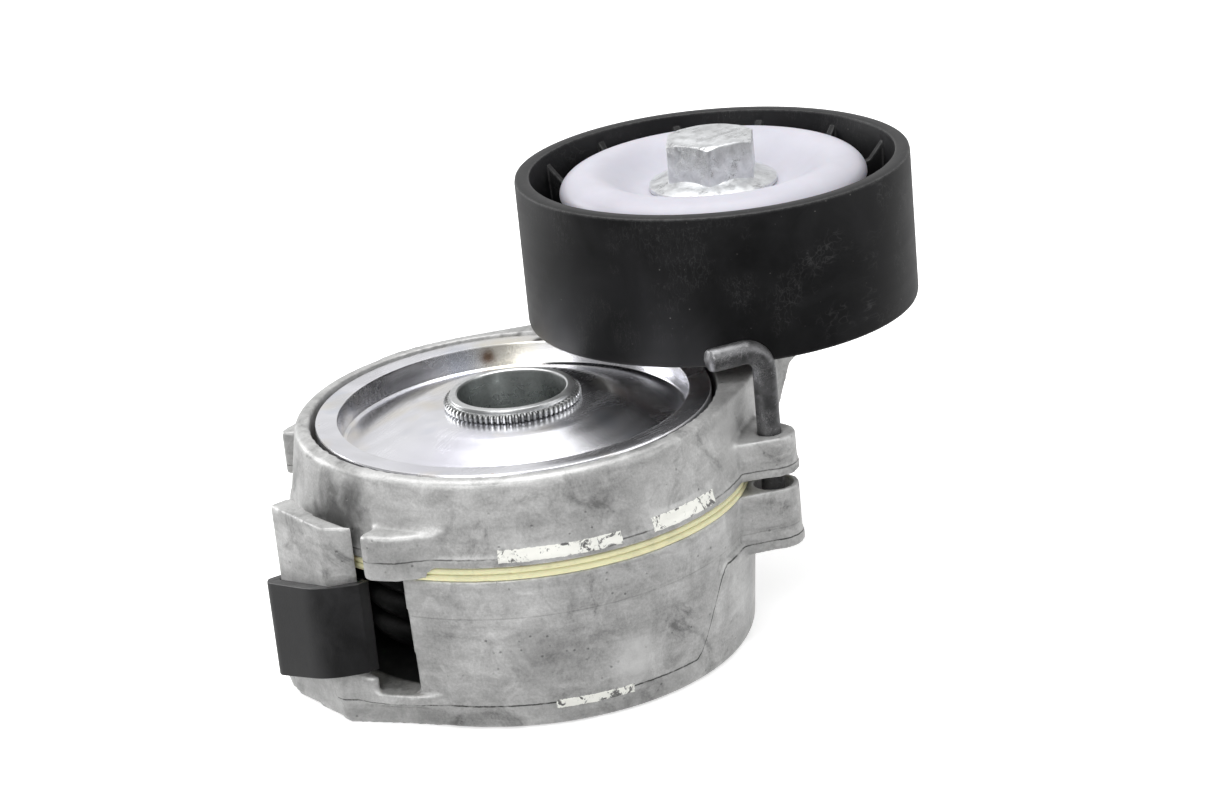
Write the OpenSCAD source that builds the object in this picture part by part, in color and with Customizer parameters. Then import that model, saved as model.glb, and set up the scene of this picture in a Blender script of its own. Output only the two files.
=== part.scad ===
// Spring-loaded belt tensioner with a smooth idler pulley.
// A torsion spring in the die-cast base turns a die-cast arm about a hollow steel sleeve.
// The arm carries a plastic pulley on a sealed ball bearing, and a bent pin locks the arm
// until the belt is fitted.  Millimetres, +Z along the pivot, +X from the pivot to the pulley.

/* [Base] */
// Radius of the base at its top edge
base_r_high = 39.1; // [30:0.1:48]
// How much narrower the base is at its mounting face
base_taper = 1.6; // [0:0.1:3]
// Height of the base
base_h = 27; // [22:0.1:34]
// Thickness of the base floor
floor_t = 6; // [4:0.1:8]
// Wall of the base round the spring chamber, at its top edge
base_wall = 4.5; // [3:0.1:6]
// Height of the die parting line above the mounting face
parting_z = 4.2; // [2:0.1:6]
// How far the lower die half stands proud of the upper one
parting_step = 0.35; // [0.1:0.05:0.8]

/* [Pivot] */
// Wide bore of the sleeve, which takes the head of the mounting bolt
sleeve_bore_r = 9.25; // [7:0.05:12]
// Wall of the sleeve round its wide bore
sleeve_wall = 1.55; // [1:0.05:3]
// Radius of the mounting bolt's hole
bolt_hole_r = 5.25; // [4:0.05:6.5]
// Thickness of the seat under the mounting bolt's head
bolt_seat_t = 8; // [5:0.5:12]
// How far the sleeve stands above the front plate
sleeve_proud = 2.2; // [1:0.1:5]
// Number of teeth in the knurl
knurl_teeth = 70; // [40:1:100]
// Wall of the pivot bush
bush_wall = 1.7; // [1:0.1:3]

/* [Arm] */
// Distance from the pivot to the pulley's axis
arm_reach = 50; // [40:0.5:64]
// Height of the arm's ring
ring_h = 14.1; // [12:0.1:20]
// How far the ring's bottom edge stands proud of the base
ring_proud = 0.6; // [0:0.1:2]
// How much narrower the ring is at its top edge
ring_taper = 2.3; // [0:0.1:4]
// Wall of the ring round the front plate, at its top edge
ring_wall = 2.7; // [1.5:0.1:5]
// Depth of that recess
recess_d = 7.7; // [6:0.1:10]
// Thickness of the arm's web
web_t = 3.8; // [2.5:0.1:6]
// Radius of the arm's end under the pulley
arm_end_r = 15; // [12:0.5:20]
// Thickness of the arm at its end
arm_end_t = 5; // [3:0.5:10]

/* [Pulley] */
// Radius of the belt surface
pulley_r = 35; // [28:0.5:44]
// Width of the belt surface
pulley_w = 26.5; // [18:0.5:34]
// Gap between the arm and the pulley
pulley_gap = 3; // [2:0.5:8]
// Thickness of the pulley's rim
rim_t = 2.8; // [2:0.1:4]
// Number of ribs in the pulley
rib_count = 13; // [6:1:20]
// Gap between the pulley's rim and the dust cap
cap_gap = 4.9; // [3:0.1:8]

/* [Bearing] */
// Bore radius of the bearing
race_bore_r = 8.5; // [6:0.5:10]
// Outer radius of the bearing
race_r = 20; // [16.5:0.5:24]
// Width of the bearing
race_w = 16; // [10:0.5:20]
// Number of balls
ball_count = 8; // [6:1:9]

/* [Pulley bolt] */
// Width across the flats of the bolt's head
hex_af = 15; // [13:0.5:18]
// Height of the head with its flange
head_h = 9; // [7:0.5:12]
// Radius of the bolt's flange
flange_r = 11.4; // [10:0.1:13]
// Radius of the bolt's shank
shank_r = 5; // [4:0.5:6]

/* [Lock pin] */
// Radius of the pin's wire
pin_r = 2; // [1.5:0.1:2.5]
// Distance of the pin's centre from the arm's ring
lock_reach = 3.6; // [3:0.1:8]
// Gap between the pin and the pulley, seen along the pivot
pin_clear = 3.26; // [1:0.01:8]
// Radius of the pin's hole in the base's lug
lock_hole_r = 3.3; // [2.5:0.1:4]
// Depth of the pin in the base's lug
pin_engage = 2; // [1:0.1:3]
// Height of the pin's handle above the arm's ring
pin_rise = 7.6; // [6:0.1:12]
// Length of the pin's handle
pin_leg = 10.2; // [8:0.1:20]

/* [Travel stops] */
// Direction that the stop post faces, in degrees
stop_angle = 176; // [170:1:182]
// Thickness of the stop post
stop_t = 2.9; // [2:0.1:5]
// Gap between the stop post and the arm's ring
stop_gap = 0.6; // [0.3:0.1:2]
// Width of the stop post
stop_w = 19.6; // [14:0.1:24]
// How far the stop post's right side slants back
stop_slant = 3.7; // [1:0.1:5]
// Height of the stop post above the base's top edge
stop_rise = 8; // [4:0.1:10]
// Wall of the rubber bumper on the post
bumper_wall = 1.8; // [1:0.1:2.4]
// Extra wall of the bumper on its cushioned side
bumper_pad = 0.4; // [0:0.1:2]

/* [Spring] */
// Radius of the spring wire
wire_r = 2.4; // [1.8:0.1:2.8]
// Gap between the coil and the chamber's wall
coil_side_gap = 5; // [1:0.1:8]
// Gap between one turn and the next
coil_turn_gap = 0.084; // [0.05:0.001:2]

/* [Fits] */
// Running clearance between parts that turn on each other
run = 0.05; // [0.02:0.01:0.1]
// Thickness of the friction ring's flange
friction_t = 2.35; // [1.5:0.05:4]

/* [Hidden] */
$fn = 96;

far = 200;           // longer than anything in the model, for cutting tools
cast_round = 1.2;    // rounding of the castings' outer edges
lug_wall = 4.4;      // radius of a lug round the lock pin
lug_drop = 10.8;     // height of the base's lug
arm_lug_h = 6.8;     // height of the arm's lug

// Radii round the pivot
base_r_low = base_r_high - base_taper;
chamber_r = base_r_high - base_wall;
ring_r_low = base_r_high + ring_proud;
ring_r_high = ring_r_low - ring_taper;
recess_r = ring_r_high - ring_wall;
sleeve_r = sleeve_bore_r + sleeve_wall;
post_in_r = ring_r_low + stop_gap;
stop_face_r = post_in_r + stop_t;
coil_r = chamber_r - coil_side_gap - wire_r;

// The pin stands beside the ring, where the pulley leaves room for it
lock_radius = ring_r_low + lock_reach;
pin_to_pulley = pulley_r + pin_clear + pin_r;
lock_angle = -acos((lock_radius * lock_radius + arm_reach * arm_reach - pin_to_pulley * pin_to_pulley)
                   / (2 * lock_radius * arm_reach));

// Heights, from the mounting face up
friction_z = base_h;
arm_z = friction_z + friction_t + run;
arm_top = arm_z + ring_h;
recess_z = arm_top - recess_d;
web_z = recess_z - web_t;
washer_t = 0.95;
boss_h = 1.6;        // boss round the sleeve, above the base floor
hub_z = floor_t + boss_h + washer_t + 2 * run;
pulley_z = arm_top + pulley_gap;
pulley_top = pulley_z + pulley_w;
race_z = pulley_z + (pulley_w - race_w) / 2;
race_top = race_z + race_w;

// Front plate
plate_t = 2;
plate_rim_out = recess_r - 0.9;
plate_rim_in = plate_rim_out - 3.8;
plate_z = arm_top - 0.2;
plate_floor_z = arm_top - 4.4;
plate_flat_r = sleeve_r + 5.7;
plate_flat_z = plate_z;

// Radii in the pivot
bush_in = sleeve_r + run;
bush_out = bush_in + bush_wall;
hub_r = bush_out + 4;
sleeve_top = plate_flat_z + sleeve_proud;

// Bearing
ball_r = 3.37;
ball_pitch_r = (race_bore_r + race_r) / 2;
ball_z = race_z + race_w / 2;
inner_race_r = ball_pitch_r - 2.35;
outer_race_r = ball_pitch_r + 2.35;
groove_gap = 0.05;

// Dust cap and bolt
cap_t = 0.65;
cap_crest_z = pulley_top - 0.4;
cap_r = pulley_r - rim_t - cap_gap;
cap_crest_r = cap_r - 5.5;
cap_dish_r = flange_r + 1.2;
head_z = race_top + cap_t;

// Outline points of a circular arc: centre c, radius r, from angle a to angle b, in n steps
function arc(c, r, a, b, n = 6) =
    [for (i = [0 : n]) c + r * [cos(a + (b - a) * i / n), sin(a + (b - a) * i / n)]];

// A point at radius r and angle a
function polar(r, a) = [r * cos(a), r * sin(a)];

// Radius of the base's wall at height z
function wall_r(z) = base_r_low + (base_r_high - base_r_low) * z / base_h;

// Angle at which a straight side leaves the ring to touch the arm's round end
reach_angle = acos((ring_r_high - arm_end_r) / arm_reach);

// ---------------------------------------------------------------- shared shapes

// Ring of rectangular section between two radii and two heights
module ring(r_in, r_out, z0, z1) {
    rotate_extrude() translate([r_in, z0]) square([r_out - r_in, z1 - z0]);
}

// Lug round the lock pin: a round end that runs into a round body of radius r
module lug_outline(r) {
    translate(polar(lock_radius, lock_angle)) circle(r = lug_wall);
    polygon([polar(r - 3, lock_angle - 12), polar(r, lock_angle - 11),
             polar(lock_radius, lock_angle) + polar(lug_wall, lock_angle - 62),
             polar(lock_radius, lock_angle) + polar(lug_wall, lock_angle + 70),
             polar(r, lock_angle + 15), polar(r - 3, lock_angle + 16)]);
}

module lock_hole(r) {
    translate(polar(lock_radius, lock_angle)) cylinder(r = r, h = far, center = true);
}

// Wedge from the axis between two angles under 180 degrees apart, for cutting sectors
module sector(a, b, z0, z1) {
    translate([0, 0, z0]) linear_extrude(z1 - z0)
        polygon([[0, 0], polar(far, a), polar(far, (a + b) / 2), polar(far, b)]);
}

// Plan of the stop post: a flat outer face, a slanting right side, and an inner face that clears the ring
post_y = [-stop_w * 0.575, stop_w * 0.425];   // the post's two sides, in its own frame

module post_block(grow_out, grow_low, grow_high, r_in, z0, z1, edge = 0.6) {
    rotate([0, 0, stop_angle]) translate([0, 0, z0]) linear_extrude(z1 - z0) difference() {
        face = stop_face_r + grow_out;
        side = post_y[1] + grow_high;
        offset(r = edge) offset(delta = -edge)
            polygon([[0, post_y[0] - grow_low], [face, post_y[0] - grow_low], [face, side - stop_slant],
                     [face - stop_slant, side], [0, side]]);
        circle(r = r_in);
    }
}

// ---------------------------------------------------------------- fixed parts

// Plan of the mounting flange under the stop post, in the post's own frame
module flange_plan(inset = 0) {
    low = post_y[0];
    high = post_y[1];
    rotate([0, 0, stop_angle]) offset(delta = -inset)
        polygon([[20, low - 13], [wall_r(0) - 4, low - 11], [wall_r(0) + 2.5, low - 7.5],
                 [stop_face_r - 1.6, low - 3.5], [stop_face_r - 0.8, low],
                 [stop_face_r - 0.8, high - 3.4], [wall_r(0), high + 2.8],
                 [wall_r(0) - 4.4, high + 9.1], [20, high + 12.6]]);
}

window = [stop_angle - 23, stop_angle + 23.5];  // directions between which the base's wall is open behind the post

module base_shell() {
    rotate_extrude() polygon(concat(
        [[sleeve_r, 0]],
        arc([wall_r(0) - cast_round + parting_step, cast_round], cast_round, -90, 0),
        [[wall_r(parting_z) + parting_step, parting_z], [wall_r(parting_z), parting_z + 0.25],
         [base_r_high, base_h], [chamber_r, base_h], [chamber_r, floor_t],
         [sleeve_r + 4.8, floor_t], [sleeve_r + 4.8, floor_t + boss_h],
         [sleeve_r, floor_t + boss_h]]));
}

spring_low_z = floor_t + wire_r + 2 * run;
spring_high_z = web_z - wire_r - 2 * run;
coil_turns = (spring_high_z - spring_low_z) / (2 * wire_r + coil_turn_gap);
spring_start = 60;
spring_end = spring_start + 360 * coil_turns;

// Block that holds one end of the spring, from angle a over the given turn
module spring_stop(a, turn, z0, z1) {
    rotate([0, 0, a]) rotate_extrude(angle = turn)
        translate([coil_r - wire_r, z0]) square([chamber_r + 0.5 - coil_r + wire_r, z1 - z0]);
}

locating_r = 4;       // hole for the engine's locating dowel
locating_depth = 4.8;
locating_at = polar(26, 100);

module base_housing() color("silver") difference() {
    union() {
        difference() {
            union() {
                base_shell();
                linear_extrude(parting_z) flange_plan();
                linear_extrude(floor_t) flange_plan(0.7);
            }
            translate([0, 0, -1]) cylinder(r = sleeve_r, h = far);
            difference() {
                sector(window[0], window[1], floor_t, base_h + 1);
                cylinder(r = hub_r, h = far);
            }
        }
        post_block(0, 0, 0, post_in_r, 1, base_h + stop_rise);
        difference() {
            translate([0, 0, base_h - lug_drop]) linear_extrude(lug_drop)
                lug_outline(wall_r(base_h - lug_drop));
            translate([0, 0, floor_t]) cylinder(r = chamber_r, h = far);
        }
        spring_stop(spring_start - 13, 12, floor_t - 0.5, floor_t + 1.3 * wire_r);
    }
    lock_hole(lock_hole_r);
    translate([locating_at.x, locating_at.y, -1]) cylinder(r = locating_r, h = locating_depth + 1);
}

knurl_r = sleeve_r + 0.95;
knurl_h = 1.5;

module knurl() {
    intersection() {
        translate([0, 0, plate_flat_z]) linear_extrude(knurl_h) polygon([
            for (i = [0 : knurl_teeth - 1])
                for (k = [[0, knurl_r - 0.4], [0.3, knurl_r], [0.62, knurl_r]])
                    polar(k[1], 360 * (i + k[0]) / knurl_teeth)]);
        translate([0, 0, plate_flat_z])
            cylinder(r1 = knurl_r + 0.6, r2 = knurl_r - 0.5, h = knurl_h);
    }
}

module pivot_sleeve() color("lightgray") difference() {
    union() {
        rotate_extrude() polygon([[bolt_hole_r, 0], [sleeve_r - 0.5, 0], [sleeve_r, 0.5],
            [sleeve_r, sleeve_top - 0.4], [sleeve_r - 0.4, sleeve_top],
            [bolt_hole_r, sleeve_top]]);
        knurl();
    }
    translate([0, 0, bolt_seat_t]) cylinder(r = sleeve_bore_r, h = far);
    translate([0, 0, -1]) cylinder(r = bolt_hole_r, h = far);
    translate([0, 0, sleeve_top - 0.5])
        cylinder(r1 = sleeve_bore_r, r2 = sleeve_bore_r + 0.6, h = 0.51);
}

module front_plate() color("gainsboro") rotate_extrude() polygon([
    [sleeve_r, plate_flat_z - plate_t], [plate_flat_r, plate_flat_z - plate_t],
    [plate_rim_in - 1, plate_floor_z - plate_t], [plate_rim_in + 1.6, plate_floor_z - plate_t],
    [plate_rim_in + 1.9, plate_z - plate_t - 0.4], [plate_rim_out - 0.3, plate_z - plate_t - 0.4],
    [plate_rim_out, plate_z - plate_t], [plate_rim_out, plate_z - 0.3],
    [plate_rim_out - 0.3, plate_z], [plate_rim_in + 0.3, plate_z],
    [plate_rim_in, plate_z - 0.3], [plate_rim_in - 0.5, plate_floor_z],
    [plate_flat_r, plate_flat_z], [sleeve_r, plate_flat_z]]);

bumper_z = [floor_t + 1.6, base_h - 1.8];

module stop_bumper() color([0.12, 0.12, 0.12]) difference() {
    post_block(bumper_wall, bumper_wall, bumper_wall + bumper_pad, post_in_r - bumper_wall,
               bumper_z[0], bumper_z[1], 1.6);
    post_block(0, 0, 0, post_in_r, 0, far);
}

skirt_h = 1.2;
skirt_t = 1.3;

module friction_ring() color([0.83, 0.81, 0.58]) rotate_extrude() {
    out = base_r_high + 0.1;
    inner = chamber_r - 2 * run - skirt_t;
    polygon([[inner, friction_z - skirt_h], [chamber_r - 2 * run, friction_z - skirt_h],
             [chamber_r - 2 * run, friction_z], [out - 0.4, friction_z], [out, friction_z + 0.4],
             [out, friction_z + friction_t * 0.45], [out - 0.25, friction_z + friction_t * 0.55],
             [out - 0.25, friction_z + friction_t - 0.3], [out - 0.55, friction_z + friction_t],
             [chamber_r - 2 * run, friction_z + friction_t],
             [chamber_r - 2 * run, web_z - 0.4], [inner, web_z - 0.4]]);
}

module thrust_washer() color("tan")
    ring(sleeve_r + run, hub_r - 0.5, floor_t + boss_h, floor_t + boss_h + washer_t);

module torsion_spring() color([0.16, 0.16, 0.17]) {
    sides = 10;
    rings = round(coil_turns * 26);
    points = [for (i = [0 : rings]) for (k = [0 : sides - 1])
        let (a = spring_start + (spring_end - spring_start) * i / rings,
             z = spring_low_z + (spring_high_z - spring_low_z) * i / rings,
             r = coil_r + wire_r * cos(360 * k / sides))
        [r * cos(a), r * sin(a), z + wire_r * sin(360 * k / sides)]];
    sidewalls = [for (i = [0 : rings - 1]) for (k = [0 : sides - 1])
        let (n = (k + 1) % sides)
        [i * sides + k, (i + 1) * sides + k, (i + 1) * sides + n, i * sides + n]];
    low_end = [for (k = [0 : sides - 1]) k];
    high_end = [for (k = [sides - 1 : -1 : 0]) rings * sides + k];
    polyhedron(points, concat(sidewalls, [low_end, high_end]));
}

// ---------------------------------------------------------------- the arm and what it carries

lug_faces = [stop_angle + 17, stop_angle - 52];

// Stop lug on the ring: its flat face is at angle a, and it tapers away over the given turn
module stop_lug(a, turn, z0, z1) {
    plan = [polar(ring_r_low - 4, a), polar(ring_r_low + 3.2, a),
            polar(ring_r_low + 3.6, a + turn * 0.12), polar(ring_r_low + 2.6, a + turn * 0.4),
            polar(ring_r_low - 1.2, a + turn), polar(ring_r_low - 4, a + turn)];
    difference() {
        translate([0, 0, z0]) linear_extrude(z1 - z0) polygon(plan);
        cylinder(r = base_r_high + 0.5, h = arm_z);
    }
}

module arm_plan() {
    corner = polar(1, reach_angle);
    circle(r = ring_r_high);
    translate([arm_reach, 0]) circle(r = arm_end_r);
    polygon([ring_r_high * corner, [arm_reach, 0] + arm_end_r * corner,
             [arm_reach, 0] + arm_end_r * [corner.x, -corner.y],
             ring_r_high * [corner.x, -corner.y]]);
}

// Beam from the ring to the pulley, deep at the ring and thin at its end
module arm_beam() {
    intersection() {
        translate([0, 0, arm_z]) linear_extrude(ring_h - 0.01) arm_plan();
        rotate([90, 0, 0]) linear_extrude(far, center = true)
            polygon([[0, arm_z], [ring_r_high + 0.9, arm_z], [arm_reach - 1, arm_top - arm_end_t],
                     [arm_reach + arm_end_r + 1, arm_top - arm_end_t],
                     [arm_reach + arm_end_r + 1, arm_top], [0, arm_top]]);
    }
}

spigot_r = race_bore_r;
neck_r = inner_race_r;

module arm_ring_solid() {
    lip = 1.4;
    rotate_extrude() polygon(concat(
        [[0, arm_z], [ring_r_low - 0.3, arm_z], [ring_r_low, arm_z + 0.3],
         [ring_r_low, arm_z + lip], [ring_r_low - 0.35, arm_z + lip + 0.2]],
        arc([ring_r_high - cast_round, arm_top - cast_round], cast_round, 5, 90),
        [[0, arm_top]]));
}

module tensioner_arm() color("darkgray") {
    difference() {
        union() {
            arm_ring_solid();
            arm_beam();
            stop_lug(lug_faces[0], 20, arm_z - 1.8, arm_z + 6);
            stop_lug(lug_faces[1], -20, arm_z, arm_z + 7.8);
            translate([0, 0, arm_z]) linear_extrude(arm_lug_h) lug_outline(ring_r_high);
            translate([arm_reach, 0, arm_top - 1])
                cylinder(r1 = neck_r + 2.6, r2 = neck_r, h = race_z - arm_top + 1);
            translate([arm_reach, 0, race_z - 1]) cylinder(r = spigot_r, h = race_w + 0.4);
        }
        translate([0, 0, recess_z]) cylinder(r = recess_r, h = far);
        translate([0, 0, -1]) cylinder(r = chamber_r, h = web_z + 1);
        translate([0, 0, -1]) cylinder(r = bush_out, h = far);
        lock_hole(pin_r + run);
        translate([arm_reach, 0, arm_top - arm_end_t + 1]) cylinder(r = shank_r, h = far);
    }
    ring(bush_out, hub_r, hub_z, recess_z);
    difference() {
        spring_stop(spring_end + 1, 12, web_z - 1.3 * wire_r, web_z + 0.5);
        ring(chamber_r - 0.01 - skirt_t - 3 * run, far, 0, web_z - 0.1);
    }
}

module pivot_bush() color("burlywood") ring(bush_in, bush_out, hub_z + 0.3, recess_z - 0.3);

module damping_cone() color("ivory") rotate_extrude() {
    fall = (plate_flat_z - plate_floor_z) / (plate_rim_in - 1 - plate_flat_r);
    low = plate_floor_z - plate_t - run;
    inner = hub_r + 2;
    outer = plate_rim_in + 1;
    polygon([[inner, recess_z], [outer, recess_z], [outer, low], [plate_rim_in - 1, low],
             [inner, low + fall * (plate_rim_in - 1 - inner)]]);
}

// Height of the cap's top surface at radius r
function cap_height(r) = r > cap_crest_r
    ? race_top + 1.2 + (cap_crest_z - race_top - 1.2)
        * sqrt(max(0, 1 - pow((r - cap_crest_r) / (cap_r - cap_crest_r), 2)))
    : head_z + (cap_crest_z - head_z)
        * (1 + cos(180 * (cap_crest_r - r) / (cap_crest_r - cap_dish_r))) / 2;

module dust_cap() color("white") rotate_about_pulley() rotate_extrude() {
    steps = 14;
    span = cap_r - cap_dish_r;
    top = [for (i = [0 : steps]) let (r = cap_dish_r + span * sin(90 * i / steps))
        [r, cap_height(r)]];
    under = [for (i = [steps : -1 : 0])
        let (r = cap_dish_r + (span - 0.9) * sin(90 * i / steps))
        [r, cap_height(r + 0.45) - cap_t - (i == steps ? 0 : 0.25 * i / steps)]];
    polygon(concat([[shank_r + run, head_z]], top, under, [[shank_r + run, race_top]]));
}

module rotate_about_pulley() { translate([arm_reach, 0, 0]) children(); }

module pulley_bolt() color("lightsteelblue") rotate_about_pulley() {
    hex_r = hex_af / 2 / cos(30);
    intersection() {
        translate([0, 0, head_z + 1]) rotate([0, 0, 44]) cylinder(r = hex_r, h = head_h - 1, $fn = 6);
        translate([0, 0, head_z]) cylinder(r1 = hex_r + head_h / tan(30) - 1.1, r2 = hex_r - 1.1,
                                           h = head_h);
    }
    rotate_extrude() polygon([[0, head_z - 22], [shank_r - 1, head_z - 22],
        [shank_r - run, head_z - 21], [shank_r - run, head_z], [flange_r - 0.2, head_z],
        [flange_r, head_z + 0.2], [flange_r, head_z + 1], [hex_af / 2, head_z + 2.2],
        [0, head_z + 2.2]]);
}

module race(r_in, r_out) rotate_about_pulley() rotate_extrude() difference() {
    translate([r_in, race_z]) square([r_out - r_in, race_w]);
    translate([ball_pitch_r, ball_z]) circle(r = ball_r + groove_gap);
}

module bearing_inner_race() color("lightgray") race(race_bore_r, inner_race_r);

module bearing_outer_race() color("lightgray") race(outer_race_r, race_r);

module bearing_balls() color("silver") rotate_about_pulley()
    for (i = [0 : ball_count - 1]) rotate([0, 0, 360 * i / ball_count])
        translate([ball_pitch_r, 0, ball_z]) sphere(r = ball_r);

module bearing_cage() color("peru") rotate_about_pulley() difference() {
    ring(ball_pitch_r - 0.9, ball_pitch_r + 0.9, ball_z - ball_r - 1.1, ball_z + ball_r + 1.1);
    for (i = [0 : ball_count - 1]) rotate([0, 0, 360 * i / ball_count])
        translate([ball_pitch_r - 3, 0, ball_z]) rotate([0, 90, 0])
        cylinder(r = ball_r + groove_gap, h = 6);
}

seal_t = 1;
seal_inset = 0.5;

module seal(z) rotate_about_pulley() ring(inner_race_r + run, outer_race_r, z, z + seal_t);

module bearing_seal_front() color([0.35, 0.2, 0.15]) seal(race_top - seal_inset - seal_t);

module bearing_seal_rear() color([0.35, 0.2, 0.15]) seal(race_z + seal_inset);

hub_wall = 3.8;

module pulley_wheel() color([0.13, 0.13, 0.13]) rotate_about_pulley() {
    rim_in = pulley_r - rim_t;
    hub_out = race_r + hub_wall;
    chamfer = 0.5;
    web_mid = pulley_z + pulley_w / 2;
    rotate_extrude() union() {
        polygon([[rim_in, pulley_z], [pulley_r - chamfer, pulley_z],
                 [pulley_r, pulley_z + chamfer], [pulley_r, pulley_top - chamfer],
                 [pulley_r - chamfer, pulley_top], [rim_in, pulley_top],
                 [rim_in - 0.5, web_mid]]);
        translate([race_r, race_z - 1]) square([hub_wall, race_w + 1]);
        translate([hub_out - 1, web_mid - 1.6]) square([rim_in - hub_out + 2, 3.2]);
    }
    for (i = [0 : rib_count - 1]) rotate([0, 0, 3 + 360 * i / rib_count])
        rotate([90, 0, 0]) linear_extrude(1.3, center = true)
            polygon([[hub_out - 0.5, race_z], [rim_in, pulley_z + 1.2],
                     [rim_in, pulley_top - 1.3], [rim_in - 2.7, pulley_top - 5],
                     [hub_out - 0.5, race_top - 1.5]]);
}

module lock_pin() color("dimgray") {
    bend = 1.6 * pin_r;
    elbow = arm_top + pin_rise;
    foot = base_h - pin_engage;
    translate(polar(lock_radius, lock_angle)) rotate([0, 0, 164.5]) {
        translate([0, 0, foot]) cylinder(r1 = pin_r - 0.5, r2 = pin_r, h = 0.6);
        translate([0, 0, foot + 0.6]) cylinder(r = pin_r, h = elbow - bend - foot - 0.6);
        translate([bend, 0, elbow - bend]) rotate([90, 0, 0]) rotate([0, 0, 90])
            rotate_extrude(angle = 90) translate([bend, 0]) circle(r = pin_r);
        translate([bend, 0, elbow]) rotate([0, 90, 0]) cylinder(r = pin_r, h = pin_leg - bend - 0.4);
        translate([pin_leg - 0.4, 0, elbow]) rotate([0, 90, 0])
            cylinder(r1 = pin_r, r2 = pin_r - 0.3, h = 0.4);
    }
}

base_housing();
pivot_sleeve();
front_plate();
stop_bumper();
friction_ring();
thrust_washer();
torsion_spring();
tensioner_arm();
pivot_bush();
damping_cone();
dust_cap();
pulley_bolt();
bearing_inner_race();
bearing_balls();
bearing_cage();
bearing_outer_race();
bearing_seal_front();
bearing_seal_rear();
pulley_wheel();
lock_pin();
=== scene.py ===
"""A belt tensioner with a smooth idler pulley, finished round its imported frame.

Sizes are millimetres, and the frame's origin is the centre of the base's mounting face,
with +Z along the pivot and +X from the pivot to the pulley.
"""

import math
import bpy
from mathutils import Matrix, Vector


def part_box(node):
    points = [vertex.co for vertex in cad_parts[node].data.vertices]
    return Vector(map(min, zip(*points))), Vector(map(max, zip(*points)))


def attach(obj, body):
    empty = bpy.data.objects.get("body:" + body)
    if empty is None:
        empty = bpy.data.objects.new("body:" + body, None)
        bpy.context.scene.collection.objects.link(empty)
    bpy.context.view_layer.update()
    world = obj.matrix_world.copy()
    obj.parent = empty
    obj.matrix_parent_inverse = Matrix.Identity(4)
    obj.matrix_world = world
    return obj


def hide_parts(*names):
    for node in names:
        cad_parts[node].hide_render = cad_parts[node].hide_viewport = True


bl_info = {
    "name": "Belt Tensioner",
    "version": (1, 0, 0),
    "blender": (4, 5, 0),
    "location": "3D View > Sidebar > Tensioner",
    "description": "Models the castings, pulley, pivot and lock pin of a spring-loaded belt tensioner",
    "category": "Object",
}

import bmesh
import bpy
from bpy.props import FloatProperty, FloatVectorProperty, IntProperty, PointerProperty
from mathutils import Matrix, Vector

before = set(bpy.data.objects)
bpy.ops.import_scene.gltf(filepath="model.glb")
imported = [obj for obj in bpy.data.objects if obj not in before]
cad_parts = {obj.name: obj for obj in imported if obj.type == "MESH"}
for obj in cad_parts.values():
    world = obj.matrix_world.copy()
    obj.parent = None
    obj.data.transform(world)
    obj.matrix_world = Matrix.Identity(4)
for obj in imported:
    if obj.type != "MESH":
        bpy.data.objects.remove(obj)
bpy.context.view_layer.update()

MM = 0.001


def span(node):
    """Lowest and highest corner of a frame node, in millimetres."""
    low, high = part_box(node)
    return low / MM, high / MM


wheel_low, wheel_high = span("pulley_wheel")
bolt_low, bolt_high = span("pulley_bolt")
sleeve_high = span("pivot_sleeve")[1]
pin_low, pin_high = span("lock_pin")
ring_low, ring_high = span("friction_ring")
plate_high = span("front_plate")[1]
cap_low, cap_high = span("dust_cap")
coil_low, coil_high = span("torsion_spring")

PIVOT = (0.0, 0.0)
PULLEY = ((wheel_low.x + wheel_high.x) / 2, 0.0)
BOLT_HOLE = 5.25                    # radius of the mounting bolt's hole at the sleeve's foot
BOLT_SEAT = 8                       # height at which the mounting bolt's head sits in the sleeve
HEX_TURN = 14                       # degrees that the bolt's hexagon is turned
CHAMBER_R = 34.6                    # spring chamber, just outside the friction ring's skirt


class TensionerSizes(bpy.types.PropertyGroup):
    """Sizes a user would change, in millimetres unless the name says otherwise."""

    turned_steps: IntProperty(
        name="Turned steps", description="Sides of a turned piece", default=160, min=48, max=320)
    cast_grain: FloatProperty(
        name="Casting grain", description="Size of the castings' mesh cells", default=0.5, min=0.3, max=1.5)
    pulley_radius: FloatProperty(
        name="Pulley radius", description="Radius of the belt face",
        default=(wheel_high.x - wheel_low.x) / 2, min=20, max=60)
    rim_wall: FloatProperty(
        name="Rim wall", description="Thickness of the pulley's rim", default=2.7, min=1, max=5)
    rib_count: IntProperty(
        name="Pulley ribs", description="Ribs between rim and hub", default=13, min=4, max=24)
    cap_radius: FloatProperty(
        name="Cap radius", description="Radius of the dust cap", default=(cap_high.x - cap_low.x) / 2,
        min=20, max=30)
    hex_flats: FloatProperty(
        name="Hexagon", description="Width across the flats of the bolt's head", default=15, min=10, max=19)
    sleeve_radius: FloatProperty(
        name="Sleeve radius", description="Outer radius of the pivot sleeve", default=10.8, min=8, max=14)
    sleeve_bore: FloatProperty(
        name="Sleeve bore", description="Radius of the pivot sleeve's wide bore", default=9.25, min=6, max=12)
    knurl_teeth: IntProperty(
        name="Knurl teeth", description="Teeth round the sleeve", default=70, min=30, max=120)
    pin_radius: FloatProperty(
        name="Pin radius", description="Radius of the lock pin's wire", default=2, min=1, max=3)
    coil_turns: FloatProperty(name="Coil turns", description="Turns of the spring", default=4.3, min=3, max=5)
    wire_radius: FloatProperty(
        name="Spring wire", description="Radius of the spring's wire", default=2.4, min=1.5, max=3)


def colour(name, what, value):
    return FloatVectorProperty(
        name=name, description=what, subtype="COLOR", size=3, min=0, max=1, default=value)


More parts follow.
